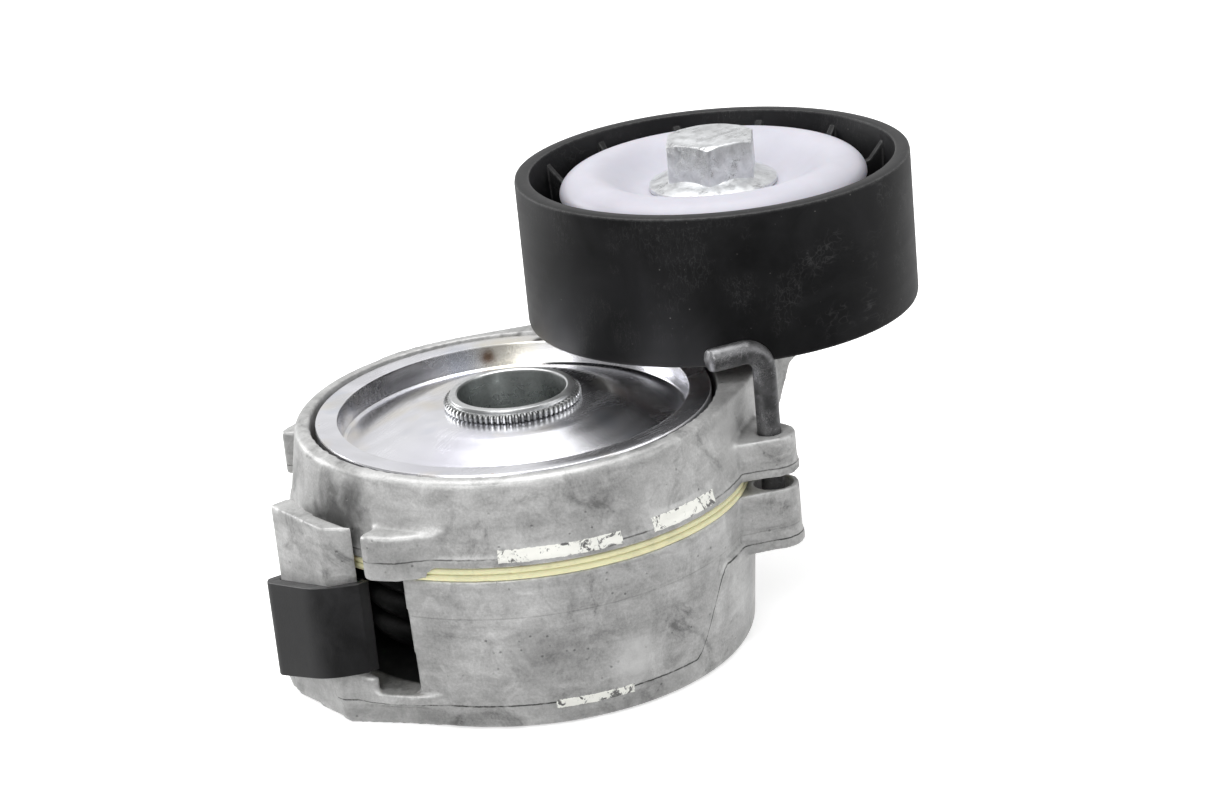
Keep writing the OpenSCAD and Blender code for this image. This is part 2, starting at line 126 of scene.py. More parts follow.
class TensionerColours(bpy.types.PropertyGroup):
    """Base colours of the finishes."""

    casting: colour("Casting", "Die-cast aluminium", (0.47, 0.47, 0.465))
    trimmed: colour("Trimmed flash", "Bright metal where flash was trimmed", (0.93, 0.93, 0.88))
    plate: colour("Plate", "Bright zinc on the front plate", (0.86, 0.86, 0.90))
    steel: colour("Steel", "Turned steel of the sleeve", (0.62, 0.63, 0.63))
    bolt: colour("Bolt", "Zinc on the pulley's bolt", (0.66, 0.67, 0.68))
    pin: colour("Pin", "Oily steel wire", (0.19, 0.19, 0.195))
    pulley: colour("Pulley", "Black moulded nylon", (0.0045, 0.0045, 0.005))
    rubber: colour("Rubber", "Black rubber", (0.007, 0.007, 0.0075))
    cap: colour("Cap", "White moulded cap", (0.52, 0.51, 0.57))
    friction: colour("Friction ring", "Cream-yellow nylon", (0.60, 0.58, 0.36))


# ---------------------------------------------------------------- working on meshes


def deselect_all():
    if bpy.context.object and bpy.context.object.mode != "OBJECT":
        bpy.ops.object.mode_set(mode="OBJECT")
    bpy.ops.object.select_all(action="DESELECT")


def only(piece):
    """Makes a piece the one selected, active object."""
    deselect_all()
    piece.select_set(True)
    bpy.context.view_layer.objects.active = piece


def edit_all():
    """Opens the active piece's mesh, with all of it selected."""
    bpy.ops.object.mode_set(mode="EDIT")
    bpy.ops.mesh.select_all(action="SELECT")


def extrude(move):
    """Extrudes what is selected by a move in metres."""
    bpy.ops.mesh.extrude_region_move(TRANSFORM_OT_translate={"value": move})


def named(name):
    """Names the object that a primitive has just added."""
    piece = bpy.context.object
    piece.name = name
    piece.data.name = name
    return piece


def clean(piece, gap=0.002):
    """Closes seams and turns the faces outwards."""
    only(piece)
    bpy.ops.object.transform_apply(location=True, rotation=True, scale=True)
    edit_all()
    bpy.ops.mesh.remove_doubles(threshold=gap * MM)
    bpy.ops.mesh.normals_make_consistent(inside=False)
    bpy.ops.object.mode_set(mode="OBJECT")
    return piece


def turned(name, centre, outline, steps=0):
    """Turns an outline of (radius, height) pairs about an upright axis.

    The outline closes on itself. One that starts and ends on the axis makes a solid.
    """
    steps = steps or bpy.context.scene.tensioner_sizes.turned_steps
    solid = outline[0][0] == 0
    route = outline[1:-1] if solid else outline + outline[:1]
    radius, height = route[0]
    deselect_all()
    bpy.ops.mesh.primitive_circle_add(
        vertices=steps, radius=radius * MM, fill_type="NGON" if solid else "NOTHING",
        location=(centre[0] * MM, centre[1] * MM, height * MM))
    piece = named(name)
    edit_all()
    for (r0, z0), (r1, z1) in zip(route, route[1:]):
        extrude((0, 0, (z1 - z0) * MM))
        grow = r1 / r0
        bpy.ops.transform.resize(
            value=(grow, grow, 1), center_override=(centre[0] * MM, centre[1] * MM, z1 * MM))
    return clean(piece)


def face_of(name, points):
    """A flat face whose corners are the given points, in millimetres."""
    deselect_all()
    bpy.ops.mesh.primitive_circle_add(vertices=len(points), radius=MM, fill_type="NGON")
    piece = named(name)
    for corner, point in zip(piece.data.vertices, points):
        corner.co = Vector(point) * MM
    return piece


def raised(name, outline, low, high):
    """Raises a plan outline of (x, y) pairs into a solid between two heights."""
    piece = face_of(name, [(x, y, low) for x, y in outline])
    edit_all()
    extrude((0, 0, (high - low) * MM))
    return clean(piece)


def swept(name, outline, start, turn, steps=24):
    """Sweeps an outline of (radius, height) pairs about the pivot, from one angle and over a turn."""
    aim = math.radians(start)
    piece = face_of(name, [(r * math.cos(aim), r * math.sin(aim), z) for r, z in outline])
    edit_all()
    bpy.ops.mesh.spin(steps=steps, angle=-math.radians(turn), center=(0, 0, 0), axis=(0, 0, 1))
    return clean(piece)


def apply(piece, kind, **settings):
    """Adds a modifier and applies it."""
    only(piece)
    modifier = piece.modifiers.new(kind.title(), kind)
    for key, value in settings.items():
        setattr(modifier, key, value)
    bpy.ops.object.modifier_apply(modifier=modifier.name)
    return piece


def round_edges(piece, width, segments=2, angle=30):
    return apply(piece, "BEVEL", width=width * MM, segments=segments, limit_method="ANGLE",
                 angle_limit=math.radians(angle), miter_outer="MITER_ARC")


def combine(piece, tool, operation):
    apply(piece, "BOOLEAN", object=tool, operation=operation, solver="EXACT")
    bpy.data.objects.remove(tool)
    return piece


def join(piece, *others):
    """Joins other pieces into one object."""
    only(piece)
    for other in others:
        other.select_set(True)
    bpy.ops.object.join()
    return piece


def copy_of(node, name):
    """A workable copy of a frame node, with its loose triangles merged."""
    piece = bpy.data.objects.new(name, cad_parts[node].data.copy())
    piece.data.name = name
    piece.data.materials.clear()
    bpy.context.scene.collection.objects.link(piece)
    return clean(piece)


def cast(piece, grain, smooth=4):
    """Melts overlapping solids into one skin with the soft edges of a casting."""
    apply(piece, "REMESH", mode="VOXEL", voxel_size=grain * MM, use_smooth_shade=True)
    return apply(piece, "SMOOTH", factor=0.5, iterations=smooth)


def finish(piece, body, slot, material, *nodes, crease=35):
    """Shades a piece, gives it its finish, and sets it on its body in place of its frame nodes."""
    only(piece)
    bpy.ops.object.shade_smooth_by_angle(angle=math.radians(crease))
    piece.data.materials.clear()
    piece.data.materials.append(material)
    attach(piece, body)
    if nodes:
        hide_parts(*nodes)
    deselect_all()
    return piece


def polar(radius, angle):
    return radius * math.cos(math.radians(angle)), radius * math.sin(math.radians(angle))


# ---------------------------------------------------------------- building shaders


def put(tree, kind, inputs=None, **settings):
    """Adds a node. An input is a value, or another node's output to link."""
    node = tree.nodes.new(kind)
    for key, value in settings.items():
        setattr(node, key, value)
    for key, value in (inputs or {}).items():
        if isinstance(value, bpy.types.NodeSocket):
            tree.links.new(value, node.inputs[key])
        else:
            node.inputs[key].default_value = value
    return node


def calc(tree, operation, a, b=0.0, c=0.0, clamp=False):
    return put(tree, "ShaderNodeMath", {0: a, 1: b, 2: c}, operation=operation, use_clamp=clamp).outputs[0]


def times(tree, a, b):
    return calc(tree, "MULTIPLY", a, b)


def plus(tree, value, factor, start, clamp=False):
    """A value times a factor, added to a start."""
    return calc(tree, "MULTIPLY_ADD", value, factor, start, clamp)


def centred(tree, value):
    """A value from 0 to 1, shifted to lie about zero."""
    return calc(tree, "SUBTRACT", value, 0.5)


def split(tree, vector):
    return put(tree, "ShaderNodeSeparateXYZ", {0: vector}).outputs


def from_axis(tree, parts):
    """Distance from the upright axis, from a vector's parts."""
    return calc(tree, "SQRT", plus(tree, parts["X"], parts["X"], times(tree, parts["Y"], parts["Y"])))


def stain_or_shade(tree, tint, mask, amount, paint):
    """Lays a colour over a tint, as far as a mask and an amount say: a stain, wear or painted shade."""
    return mix(tree, times(tree, mask, amount), tint, paint)


def reach(tree, value, low, high, to_low=0.0, to_high=1.0):
    """Maps a value from one range to another, clamped."""
    return put(tree, "ShaderNodeMapRange", {
        "Value": value, "From Min": low, "From Max": high, "To Min": to_low, "To Max": to_high}).outputs[0]


def noise(tree, vector, scale, detail=3.0, rough=0.55, warp=0.0):
    return put(tree, "ShaderNodeTexNoise", {
        "Vector": vector, "Scale": scale, "Detail": detail, "Roughness": rough,
        "Distortion": warp}).outputs["Fac"]


def cells(tree, vector, scale, feature="F1"):
    found = put(tree, "ShaderNodeTexVoronoi", {"Vector": vector, "Scale": scale}, feature=feature)
    return found.outputs["Distance"]


def mix(tree, factor, a, b):
    """Mixes two colours, each a colour or an output."""
    a, b = [(*v, 1) if isinstance(v, (tuple, list)) and len(v) == 3 else v for v in (a, b)]
    return put(tree, "ShaderNodeMix", {0: factor, 6: a, 7: b}, data_type="RGBA").outputs[2]


def stretch(tree, vector, scale, turn=(0, 0, 0)):
    return put(tree, "ShaderNodeMapping", {
        "Vector": vector, "Scale": scale, "Rotation": [math.radians(a) for a in turn]}).outputs[0]


def group(name, inputs, outputs, build):
    """Makes a shader node group once. build gets its tree and inputs, and returns its outputs by name."""
    if name in bpy.data.node_groups:
        return bpy.data.node_groups[name]
    tree = bpy.data.node_groups.new(name, "ShaderNodeTree")
    for key, value in inputs.items():
        kind = "NodeSocketVector" if value is None else "NodeSocketFloat"
        socket = tree.interface.new_socket(key, in_out="INPUT", socket_type=kind)
        if value is not None:
            socket.default_value = value
    for key in outputs:
        tree.interface.new_socket(key, in_out="OUTPUT", socket_type="NodeSocketFloat")
    entry = tree.nodes.new("NodeGroupInput")
    leave = tree.nodes.new("NodeGroupOutput")
    for key, value in build(tree, entry.outputs).items():
        tree.links.new(value, leave.inputs[key])
    return tree


def use(tree, made, **inputs):
    """Places a node group; an underscore in a keyword stands for a space."""
    values = {key.replace("_", " "): value for key, value in inputs.items()}
    return put(tree, "ShaderNodeGroup", values, node_tree=made).outputs


def cast_skin():
    """Mottled, pitted skin of a die casting."""

    def build(tree, given):
        at = given["Vector"]
        broad = noise(tree, at, 0.055, 3, 0.6, 0.6)
        blotch = noise(tree, at, 0.22, 7, 0.68, 0.8)
        flow = noise(tree, stretch(tree, at, (0.10, 0.10, 0.55), (12, 0, 0)), 1.0, 5, 0.6, 0.5)
        grain = noise(tree, at, 2.4, 3, 0.7)
        pit_field = cells(tree, at, 0.55)
        pit_room = reach(tree, noise(tree, at, 0.16, 2), 0.50, 0.62)
        pits = times(tree, reach(tree, pit_field, 0.16, 0.07), pit_room)
        smudge = reach(tree, noise(tree, at, 0.085, 5, 0.7, 1.2), 0.56, 0.72)
        smudge = times(tree, smudge, given["Stains"])
        tone = plus(tree, centred(tree, broad), 0.9, 0.5)
        tone = plus(tree, centred(tree, blotch), 1.0, tone)
        tone = plus(tree, centred(tree, flow), 0.55, tone)
        tone = plus(tree, centred(tree, grain), 0.6, tone)
        tone = plus(tree, smudge, -0.42, tone)
        tone = plus(tree, pits, -0.45, tone, clamp=True)
        rough = plus(tree, blotch, 0.30, 0.26)
        height = plus(tree, pits, -0.9, times(tree, grain, 0.22))
        height = plus(tree, blotch, 0.8, height)
        return {"Tone": tone, "Roughness": rough, "Height": height}

    return group("Cast skin", {"Vector": None, "Stains": 1.0}, ("Tone", "Roughness", "Height"), build)


def crease_shade():
    """Painted shade in the creases, from the mesh's own shape."""

    def build(tree, given):
        point = put(tree, "ShaderNodeNewGeometry").outputs["Pointiness"]
        rag = noise(tree, given["Vector"], 0.9, 4)
        shifted = plus(tree, centred(tree, rag), 0.03, point)
        return {"Dirt": reach(tree, shifted, 0.485, 0.44)}

    return group("Creases", {"Vector": None}, ("Dirt",), build)


def parting_line():
    """Thin broken line round the pivot at a height, which may climb in an S between two angles."""

    def build(tree, given):
        parts = split(tree, given["Vector"])
        angle = calc(tree, "DEGREES", calc(tree, "ARCTAN2", parts["Y"], parts["X"]))
        climb = put(tree, "ShaderNodeMapRange", {
            "Value": angle, "From Min": given["From"], "From Max": given["To"]},
            interpolation_type="SMOOTHSTEP")
        level = plus(tree, climb.outputs[0], given["Rise"], given["Height"])
        rag = centred(tree, noise(tree, given["Vector"], 0.8, 4, 0.7))
        away = calc(tree, "ABSOLUTE", calc(tree, "SUBTRACT", plus(tree, rag, 0.25, parts["Z"]), level))
        line = reach(tree, away, 0.17, 0.06)
        radius = from_axis(tree, parts)
        broken = reach(tree, noise(tree, given["Vector"], 0.35, 5, 0.7), 0.36, 0.52, 0.25, 1.0)
        line = times(tree, line, broken)
        return {"Line": times(tree, line, calc(tree, "GREATER_THAN", radius, given["Inner"]))}

    return group("Parting line", {"Vector": None, "Height": 0.0, "Rise": 0.0, "From": 0.0, "To": 1.0,
                                  "Inner": 36.5}, ("Line",), build)


def soft_spot():
    """Soft cloud round a point."""

    def build(tree, given):
        away = put(tree, "ShaderNodeVectorMath", {0: given["Vector"], 1: given["Centre"]},
                   operation="DISTANCE")
        rag = centred(tree, noise(tree, given["Vector"], 0.22, 4, 0.6, 0.5))
        away = plus(tree, rag, given["Radius"], away.outputs["Value"])
        share = calc(tree, "DIVIDE", away, given["Radius"])
        spot = put(tree, "ShaderNodeMapRange", {"Value": share, "From Min": 1.0, "From Max": 0.1},
                   interpolation_type="SMOOTHSTEP")
        return {"Spot": spot.outputs[0]}

    return group("Soft spot", {"Vector": None, "Centre": None, "Radius": 5.0}, ("Spot",), build)


def fine_edges():
    """Light line on the edges of a piece with few faces."""

    def build(tree, given):
        soft = put(tree, "ShaderNodeBevel", {"Radius": given["Radius"]}, samples=6).outputs[0]
        hard = put(tree, "ShaderNodeNewGeometry").outputs["Normal"]
        same = put(tree, "ShaderNodeVectorMath", {0: soft, 1: hard}, operation="DOT_PRODUCT").outputs["Value"]
        rag = noise(tree, given["Vector"], 1.1, 4)
        edge = reach(tree, same, 0.995, 0.93)
        return {"Worn": times(tree, edge, reach(tree, rag, 0.35, 0.6, 0.35, 1.0))}

    return group("Fine edges", {"Vector": None, "Radius": 0.0005}, ("Worn",), build)


def scratches():
    """Thin broken scratches in three directions."""

    def build(tree, given):
        found = None
        for turn in ((0, 0, 25), (35, 0, -40), (80, 20, 10)):
            streak = noise(tree, stretch(tree, given["Vector"], (0.05, 1.3, 0.35), turn), 1.0, 2, 0.5, 0.2)
            line = reach(tree, calc(tree, "ABSOLUTE", centred(tree, streak)), 0.012, 0.0)
            found = line if found is None else calc(tree, "MAXIMUM", found, line)
        room = reach(tree, noise(tree, given["Vector"], 0.12, 3), 0.50, 0.60)
        return {"Mark": times(tree, times(tree, found, room), given["Amount"])}

    return group("Scratches", {"Vector": None, "Amount": 1.0}, ("Mark",), build)


def lathe_lines():
    """Fine rings that a lathe or a mould leaves round an axis at the vector's origin."""

    def build(tree, given):
        parts = split(tree, given["Vector"])
        radius = from_axis(tree, parts)
        across = put(tree, "ShaderNodeCombineXYZ", {"X": radius, "Z": parts["Z"]}).outputs[0]
        fine = noise(tree, across, given["Pitch"], 2, 0.6)
        wide = noise(tree, across, 0.35, 2, 0.5)
        return {"Line": fine, "Band": wide}

    return group("Lathe lines", {"Vector": None, "Pitch": 4.0}, ("Line", "Band"), build)


def specks():
    """Small light specks of dust and chips."""

    def build(tree, given):
        dot = reach(tree, cells(tree, given["Vector"], given["Spacing"]), 0.09, 0.03)
        room = reach(tree, noise(tree, given["Vector"], 0.3, 3), 0.52, 0.66)
        return {"Speck": times(tree, dot, room)}

    return group("Specks", {"Vector": None, "Spacing": 0.8}, ("Speck",), build)


def trimmed_patch():
    """Ragged bright patch round the pivot, between two angles in degrees and two heights."""

    def build(tree, given):
        parts = split(tree, given["Vector"])
        angle = calc(tree, "DEGREES", calc(tree, "ARCTAN2", parts["Y"], parts["X"]))
        rag = centred(tree, noise(tree, given["Vector"], 0.7, 5, 0.7))
        angle = plus(tree, rag, 1.2, angle)
        height = plus(tree, rag, 0.7, parts["Z"])
        inside = times(tree, calc(tree, "GREATER_THAN", angle, given["From"]),
                      calc(tree, "LESS_THAN", angle, given["To"]))
        inside = times(tree, inside, calc(tree, "GREATER_THAN", height, given["Low"]))
        inside = times(tree, inside, calc(tree, "LESS_THAN", height, given["High"]))
        torn = reach(tree, noise(tree, given["Vector"], 0.42, 4, 0.75, 1.0), 0.40, 0.46)
        return {"Patch": inside, "Bright": times(tree, inside, torn)}

    return group("Trimmed patch", {"Vector": None, "From": 0.0, "To": 0.0, "Low": 0.0, "High": 0.0},
                 ("Patch", "Bright"), build)


def new_material(name):
    """A material with its shader, and a vector in millimetres on the object's own coordinates."""
    material = bpy.data.materials.new(name)
    material.use_nodes = True
    tree = material.node_tree
    place = put(tree, "ShaderNodeTexCoord").outputs["Object"]
    at = put(tree, "ShaderNodeVectorMath", {0: place, "Scale": 1 / MM}, operation="SCALE").outputs[0]
    return material, tree, tree.nodes["Principled BSDF"], at


def about(tree, at, centre):
    """The vector measured from an upright axis at the given centre."""
    return put(tree, "ShaderNodeVectorMath", {0: at, 1: (centre[0], centre[1], 0)},
               operation="SUBTRACT").outputs[0]


def wire(tree, shader, **sockets):
    """Links or sets the shader's sockets; an underscore stands for a space."""
    for key, value in sockets.items():
        socket = shader.inputs[key.replace("_", " ")]
        if isinstance(value, bpy.types.NodeSocket):
            tree.links.new(value, socket)
        else:
            short = isinstance(value, (tuple, list)) and len(value) == 3
            socket.default_value = (*value, 1) if short else value


def bump(tree, shader, height, depth, strength=1.0):
    """Feeds a height, in units of depth millimetres, to the shader's normal."""
    node = put(tree, "ShaderNodeBump", {"Height": height, "Strength": strength, "Distance": depth * MM})
    tree.links.new(node.outputs[0], shader.inputs["Normal"])


def shades(colour_value, factor):
    return tuple(min(1.0, c * factor) for c in colour_value)


def casting_material(name, patches, lines, spots, inside=0.0):
    """Die-cast aluminium with stains, parting lines and bright trimmed patches, plus painted shade in its
    creases, at a spot given for it and, when inside is given, in the spring chamber.
    """
    colours = bpy.context.scene.tensioner_colours
    material, tree, shader, at = new_material(name)
    skin = use(tree, cast_skin(), Vector=at, Stains=1.0)
    tint = mix(tree, skin["Tone"], shades(colours.casting, 0.52), shades(colours.casting, 1.42))
    # Painted shade: the casting's creases are darkened almost to black.
    tint = stain_or_shade(tree, tint, use(tree, crease_shade(), Vector=at)["Dirt"], 0.7, (0.035, 0.033, 0.03))
    for centre, radius, amount, shade in spots:
        spot = use(tree, soft_spot(), Vector=at, Centre=centre, Radius=radius)
        tint = stain_or_shade(tree, tint, spot["Spot"], amount, shades(colours.casting, shade))
    for height, rise, start, end, amount in lines:
        line = use(tree, parting_line(), Vector=at, Height=height, Rise=rise, From=start, To=end)
        tint = stain_or_shade(tree, tint, line["Line"], amount, (0.02, 0.02, 0.018))
    rough = skin["Roughness"]
    for start, end, low, high in patches:
        patch = use(tree, trimmed_patch(), Vector=at, From=start, To=end, Low=low, High=high)
        tint = mix(tree, patch["Patch"], tint, shades(colours.casting, 0.38))
        tint = mix(tree, patch["Bright"], tint, colours.trimmed[:])
        rough = plus(tree, patch["Bright"], 0.25, rough, clamp=True)
    if inside:
        parts = split(tree, at)
        radius = from_axis(tree, parts)
        # Painted shade: inside the given radius and above 5.6 mm, the casting is darkened almost to black.
        painted_chamber_shade = times(tree, reach(tree, radius, inside + 0.9, inside + 0.1),
                    reach(tree, parts["Z"], 5.0, 5.6))
        tint = stain_or_shade(tree, tint, painted_chamber_shade, 0.97, (0.008, 0.008, 0.008))
    metal = reach(tree, skin["Tone"], 0.0, 1.0, 0.60, 0.30)
    wire(tree, shader, Base_Color=tint, Roughness=rough, Metallic=metal)
    bump(tree, shader, skin["Height"], 0.09)
    return material


PLATE_STAINS = (
    ((18.4, 23.6, 41), 11, 0.60, (0.86, 0.80, 0.62)),
    ((10.5, 28.0, 41), 6, 0.45, (0.55, 0.62, 0.78)),
    ((-3.0, 18.5, 41), 9, 0.45, (0.90, 0.84, 0.70)),
    ((-20, -10, 39), 16, 0.40, (0.80, 0.78, 0.92)),
    ((15.4, 25.6, 41.2), 2.2, 0.9, (0.20, 0.11, 0.06)),
)


def plate_material():
    """Bright zinc over turned steel, with faint tints left by passivation and a rust speck or two."""
    colours = bpy.context.scene.tensioner_colours
    material, tree, shader, at = new_material("Bright plate")
    lines = use(tree, lathe_lines(), Vector=at, Pitch=3.2)
    marks = use(tree, fine_edges(), Vector=at, Radius=0.0006)
    scratch = use(tree, scratches(), Vector=at, Amount=0.5)
    wash = noise(tree, at, 0.045, 3, 0.5, 0.8)
    tint = mix(tree, reach(tree, wash, 0.40, 0.60), shades(colours.plate, 0.93), shades(colours.plate, 1.1))
    warm = reach(tree, noise(tree, stretch(tree, at, (1, 1, 1), (0, 0, 70)), 0.07, 2), 0.56, 0.70)
    tint = stain_or_shade(tree, tint, warm, 0.45, (0.84, 0.76, 0.60))
    cool = reach(tree, noise(tree, stretch(tree, at, (1, 1, 1), (40, 0, 0)), 0.08, 2), 0.58, 0.70)
    tint = stain_or_shade(tree, tint, cool, 0.40, (0.52, 0.58, 0.70))
    for centre, radius, amount, shade in PLATE_STAINS:
        spot = use(tree, soft_spot(), Vector=at, Centre=centre, Radius=radius)
        tint = stain_or_shade(tree, tint, spot["Spot"], amount, shade)
    fleck = times(tree, reach(tree, cells(tree, at, 0.45), 0.10, 0.05),
                 reach(tree, noise(tree, at, 0.16, 3), 0.60, 0.68))
    tint = stain_or_shade(tree, tint, fleck, 0.7, (0.60, 0.36, 0.20))
    tint = stain_or_shade(tree, tint, marks["Worn"], 0.6, (0.95, 0.95, 0.96))
    rough = plus(tree, lines["Band"], 0.16, 0.16)
    rough = plus(tree, scratch["Mark"], 0.2, rough)
    wire(tree, shader, Base_Color=tint, Roughness=rough, Metallic=1.0)
    bump(tree, shader, lines["Line"], 0.006)
    return material


def steel_material(name, base, pitch=3.0, centre=PIVOT, low_rough=0.2, dark_inside=0.0, collar=0.0):
    """Turned steel, with painted shade, a dark greenish grey, on what faces down a bore, and near-black
    painted shade in the collar's knurl.
    """
    material, tree, shader, at = new_material(name)
    middle = about(tree, at, centre)
    lines = use(tree, lathe_lines(), Vector=middle, Pitch=pitch)
    marks = use(tree, fine_edges(), Vector=at, Radius=0.0004)
    grime = reach(tree, noise(tree, at, 0.35, 5, 0.7), 0.45, 0.75)
    tint = mix(tree, grime, shades(base, 1.08), shades(base, 0.62))
    if dark_inside:
        parts = split(tree, middle)
        radius = from_axis(tree, parts)
        # Painted shade: the knurl's valleys and the collar's chamfers, just inside the teeth's tips, are
        # darkened almost to black.
        painted_knurl_shade = times(tree, reach(tree, radius, collar - 0.12, collar - 0.40),
                      times(tree, calc(tree, "GREATER_THAN", radius, collar - 0.9),
                           calc(tree, "LESS_THAN", parts["Z"], plate_high.z + 1.48)))
        tint = stain_or_shade(tree, tint, painted_knurl_shade, 0.85, (0.03, 0.03, 0.03))
        # Painted shade: inside the bore's radius the steel is darkened to a dark greenish grey.
        painted_bore_shade = reach(tree, radius, dark_inside + 0.1, dark_inside - 0.1)
        tint = stain_or_shade(tree, tint, painted_bore_shade, 0.8, (0.16, 0.19, 0.18))
    tint = stain_or_shade(tree, tint, marks["Worn"], 0.5, shades(base, 1.45))
    rough = plus(tree, grime, 0.25, plus(tree, lines["Band"], 0.15, low_rough))
    wire(tree, shader, Base_Color=tint, Roughness=rough, Metallic=1.0)
    bump(tree, shader, lines["Line"], 0.01)
    return material


def bolt_material():
    """Silver zinc plate, cloudy on the flats, with dark scratches."""
    colours = bpy.context.scene.tensioner_colours
    material, tree, shader, at = new_material("Zinc bolt")
    marks = use(tree, fine_edges(), Vector=at, Radius=0.0005)
    scratch = use(tree, scratches(), Vector=stretch(tree, at, (2.2, 2.2, 2.2)), Amount=1.0)
    cloud = noise(tree, at, 0.5, 6, 0.7, 0.4)
    tint = mix(tree, reach(tree, cloud, 0.3, 0.7), shades(colours.bolt, 0.72), shades(colours.bolt, 1.15))
    tint = stain_or_shade(tree, tint, scratch["Mark"], 0.85, (0.09, 0.09, 0.09))
    tint = stain_or_shade(tree, tint, marks["Worn"], 0.6, (0.92, 0.92, 0.93))
    wire(tree, shader, Base_Color=tint, Roughness=reach(tree, cloud, 0.3, 0.7, 0.32, 0.52), Metallic=0.8)
    bump(tree, shader, calc(tree, "SUBTRACT", cloud, scratch["Mark"]), 0.05)
    return material


def pulley_material():
    """Black glass-filled nylon, satin, with mould rings, scuffed edges and a little dust."""
    colours = bpy.context.scene.tensioner_colours
    material, tree, shader, at = new_material("Black moulded nylon")
    middle = about(tree, at, PULLEY)
    lines = use(tree, lathe_lines(), Vector=middle, Pitch=2.0)
    marks = use(tree, fine_edges(), Vector=at, Radius=0.0007)
    dust = use(tree, specks(), Vector=at, Spacing=0.55)
    haze = noise(tree, at, 0.10, 5, 0.65, 0.6)
    scratch = use(tree, scratches(), Vector=at, Amount=0.6)
    tint = mix(tree, reach(tree, haze, 0.35, 0.7), shades(colours.pulley, 0.8), shades(colours.pulley, 2.0))
    tint = stain_or_shade(tree, tint, marks["Worn"], 0.5, (0.13, 0.13, 0.13))
    tint = stain_or_shade(tree, tint, scratch["Mark"], 0.35, (0.10, 0.10, 0.10))
    tint = stain_or_shade(tree, tint, dust["Speck"], 0.4, (0.35, 0.34, 0.32))
    rough = plus(tree, haze, 0.22, plus(tree, lines["Band"], 0.10, 0.28))
    wire(tree, shader, Base_Color=tint, Roughness=rough, Specular_IOR_Level=0.3)
    bump(tree, shader, plus(tree, haze, 0.5, lines["Line"]), 0.012)
    return material


def rubber_material():
    """Satin black rubber with a dusty bloom."""
    colours = bpy.context.scene.tensioner_colours
    material, tree, shader, at = new_material("Black rubber")
    bloom = noise(tree, at, 0.16, 5, 0.6, 0.4)
    grain = noise(tree, at, 3.5, 2)
    tint = mix(tree, reach(tree, bloom, 0.35, 0.75), colours.rubber[:], shades(colours.rubber, 2.6))
    wire(tree, shader, Base_Color=tint, Roughness=reach(tree, bloom, 0.3, 0.7, 0.34, 0.50))
    bump(tree, shader, plus(tree, bloom, 0.8, grain), 0.02)
    return material


def cap_material():
    """White moulded plastic with a faint cool cast, a soft sheen and a few scuffs."""
    colours = bpy.context.scene.tensioner_colours
    material, tree, shader, at = new_material("White cap")
    lines = use(tree, lathe_lines(), Vector=about(tree, at, PULLEY), Pitch=1.6)
    scuff = use(tree, scratches(), Vector=at, Amount=0.5)
    tone = noise(tree, at, 0.09, 4, 0.6)
    tint = mix(tree, reach(tree, tone, 0.35, 0.7), colours.cap[:], shades(colours.cap, 0.90))
    tint = stain_or_shade(tree, tint, scuff["Mark"], 0.22, (0.42, 0.42, 0.46))
    rough = plus(tree, scuff["Mark"], 0.2, plus(tree, lines["Band"], 0.1, 0.30))
    wire(tree, shader, Base_Color=tint, Roughness=rough, Subsurface_Weight=0.08, Subsurface_Scale=0.003)
    bump(tree, shader, lines["Line"], 0.008)
    return material


def friction_material():
    """Cream-yellow nylon with grey dirt worked into it."""
    colours = bpy.context.scene.tensioner_colours
    material, tree, shader, at = new_material("Friction nylon")
    lines = use(tree, lathe_lines(), Vector=at, Pitch=2.5)
    dirt = reach(tree, noise(tree, at, 0.28, 6, 0.7, 0.6), 0.50, 0.75)
    tint = mix(tree, lines["Band"], colours.friction[:], shades(colours.friction, 1.12))
    tint = stain_or_shade(tree, tint, dirt, 0.45, (0.34, 0.31, 0.20))
    wire(tree, shader, Base_Color=tint, Roughness=reach(tree, dirt, 0, 1, 0.38, 0.6), Subsurface_Weight=0.1,
         Subsurface_Scale=0.002)
    bump(tree, shader, lines["Line"], 0.02)
    return material


def wire_material(name, base, low_rough=0.3):
    """Dark drawn wire with oil and rubbed spots."""
    material, tree, shader, at = new_material(name)
    oil = noise(tree, at, 0.45, 5, 0.7, 0.5)
    rub = reach(tree, noise(tree, at, 0.9, 4, 0.7), 0.58, 0.72)
    scratch = use(tree, scratches(), Vector=stretch(tree, at, (2, 2, 2)), Amount=1.0)
    tint = mix(tree, reach(tree, oil, 0.3, 0.7), shades(base, 0.6), shades(base, 1.5))
    tint = stain_or_shade(tree, tint, rub, 0.5, shades(base, 3.0))
    tint = stain_or_shade(tree, tint, scratch["Mark"], 0.6, shades(base, 4.0))
    rough = reach(tree, oil, 0.3, 0.7, low_rough, low_rough + 0.2)
    wire(tree, shader, Base_Color=tint, Roughness=rough, Metallic=0.9)
    bump(tree, shader, oil, 0.04)
    return material


def plain_material(name, base, rough, metal=0.0, pitch=3.0, centre=PULLEY):
    """Finish of a small inner piece: turning lines and slight soiling."""
    material, tree, shader, at = new_material(name)
    lines = use(tree, lathe_lines(), Vector=about(tree, at, centre), Pitch=pitch)
    soil = noise(tree, at, 0.4, 5, 0.65)
    tint = mix(tree, reach(tree, soil, 0.4, 0.75), base, shades(base, 0.7))
    wire(tree, shader, Base_Color=tint, Roughness=plus(tree, soil, 0.2, rough - 0.1), Metallic=metal)
    bump(tree, shader, lines["Line"], 0.01)
    return material


# ---------------------------------------------------------------- the pieces

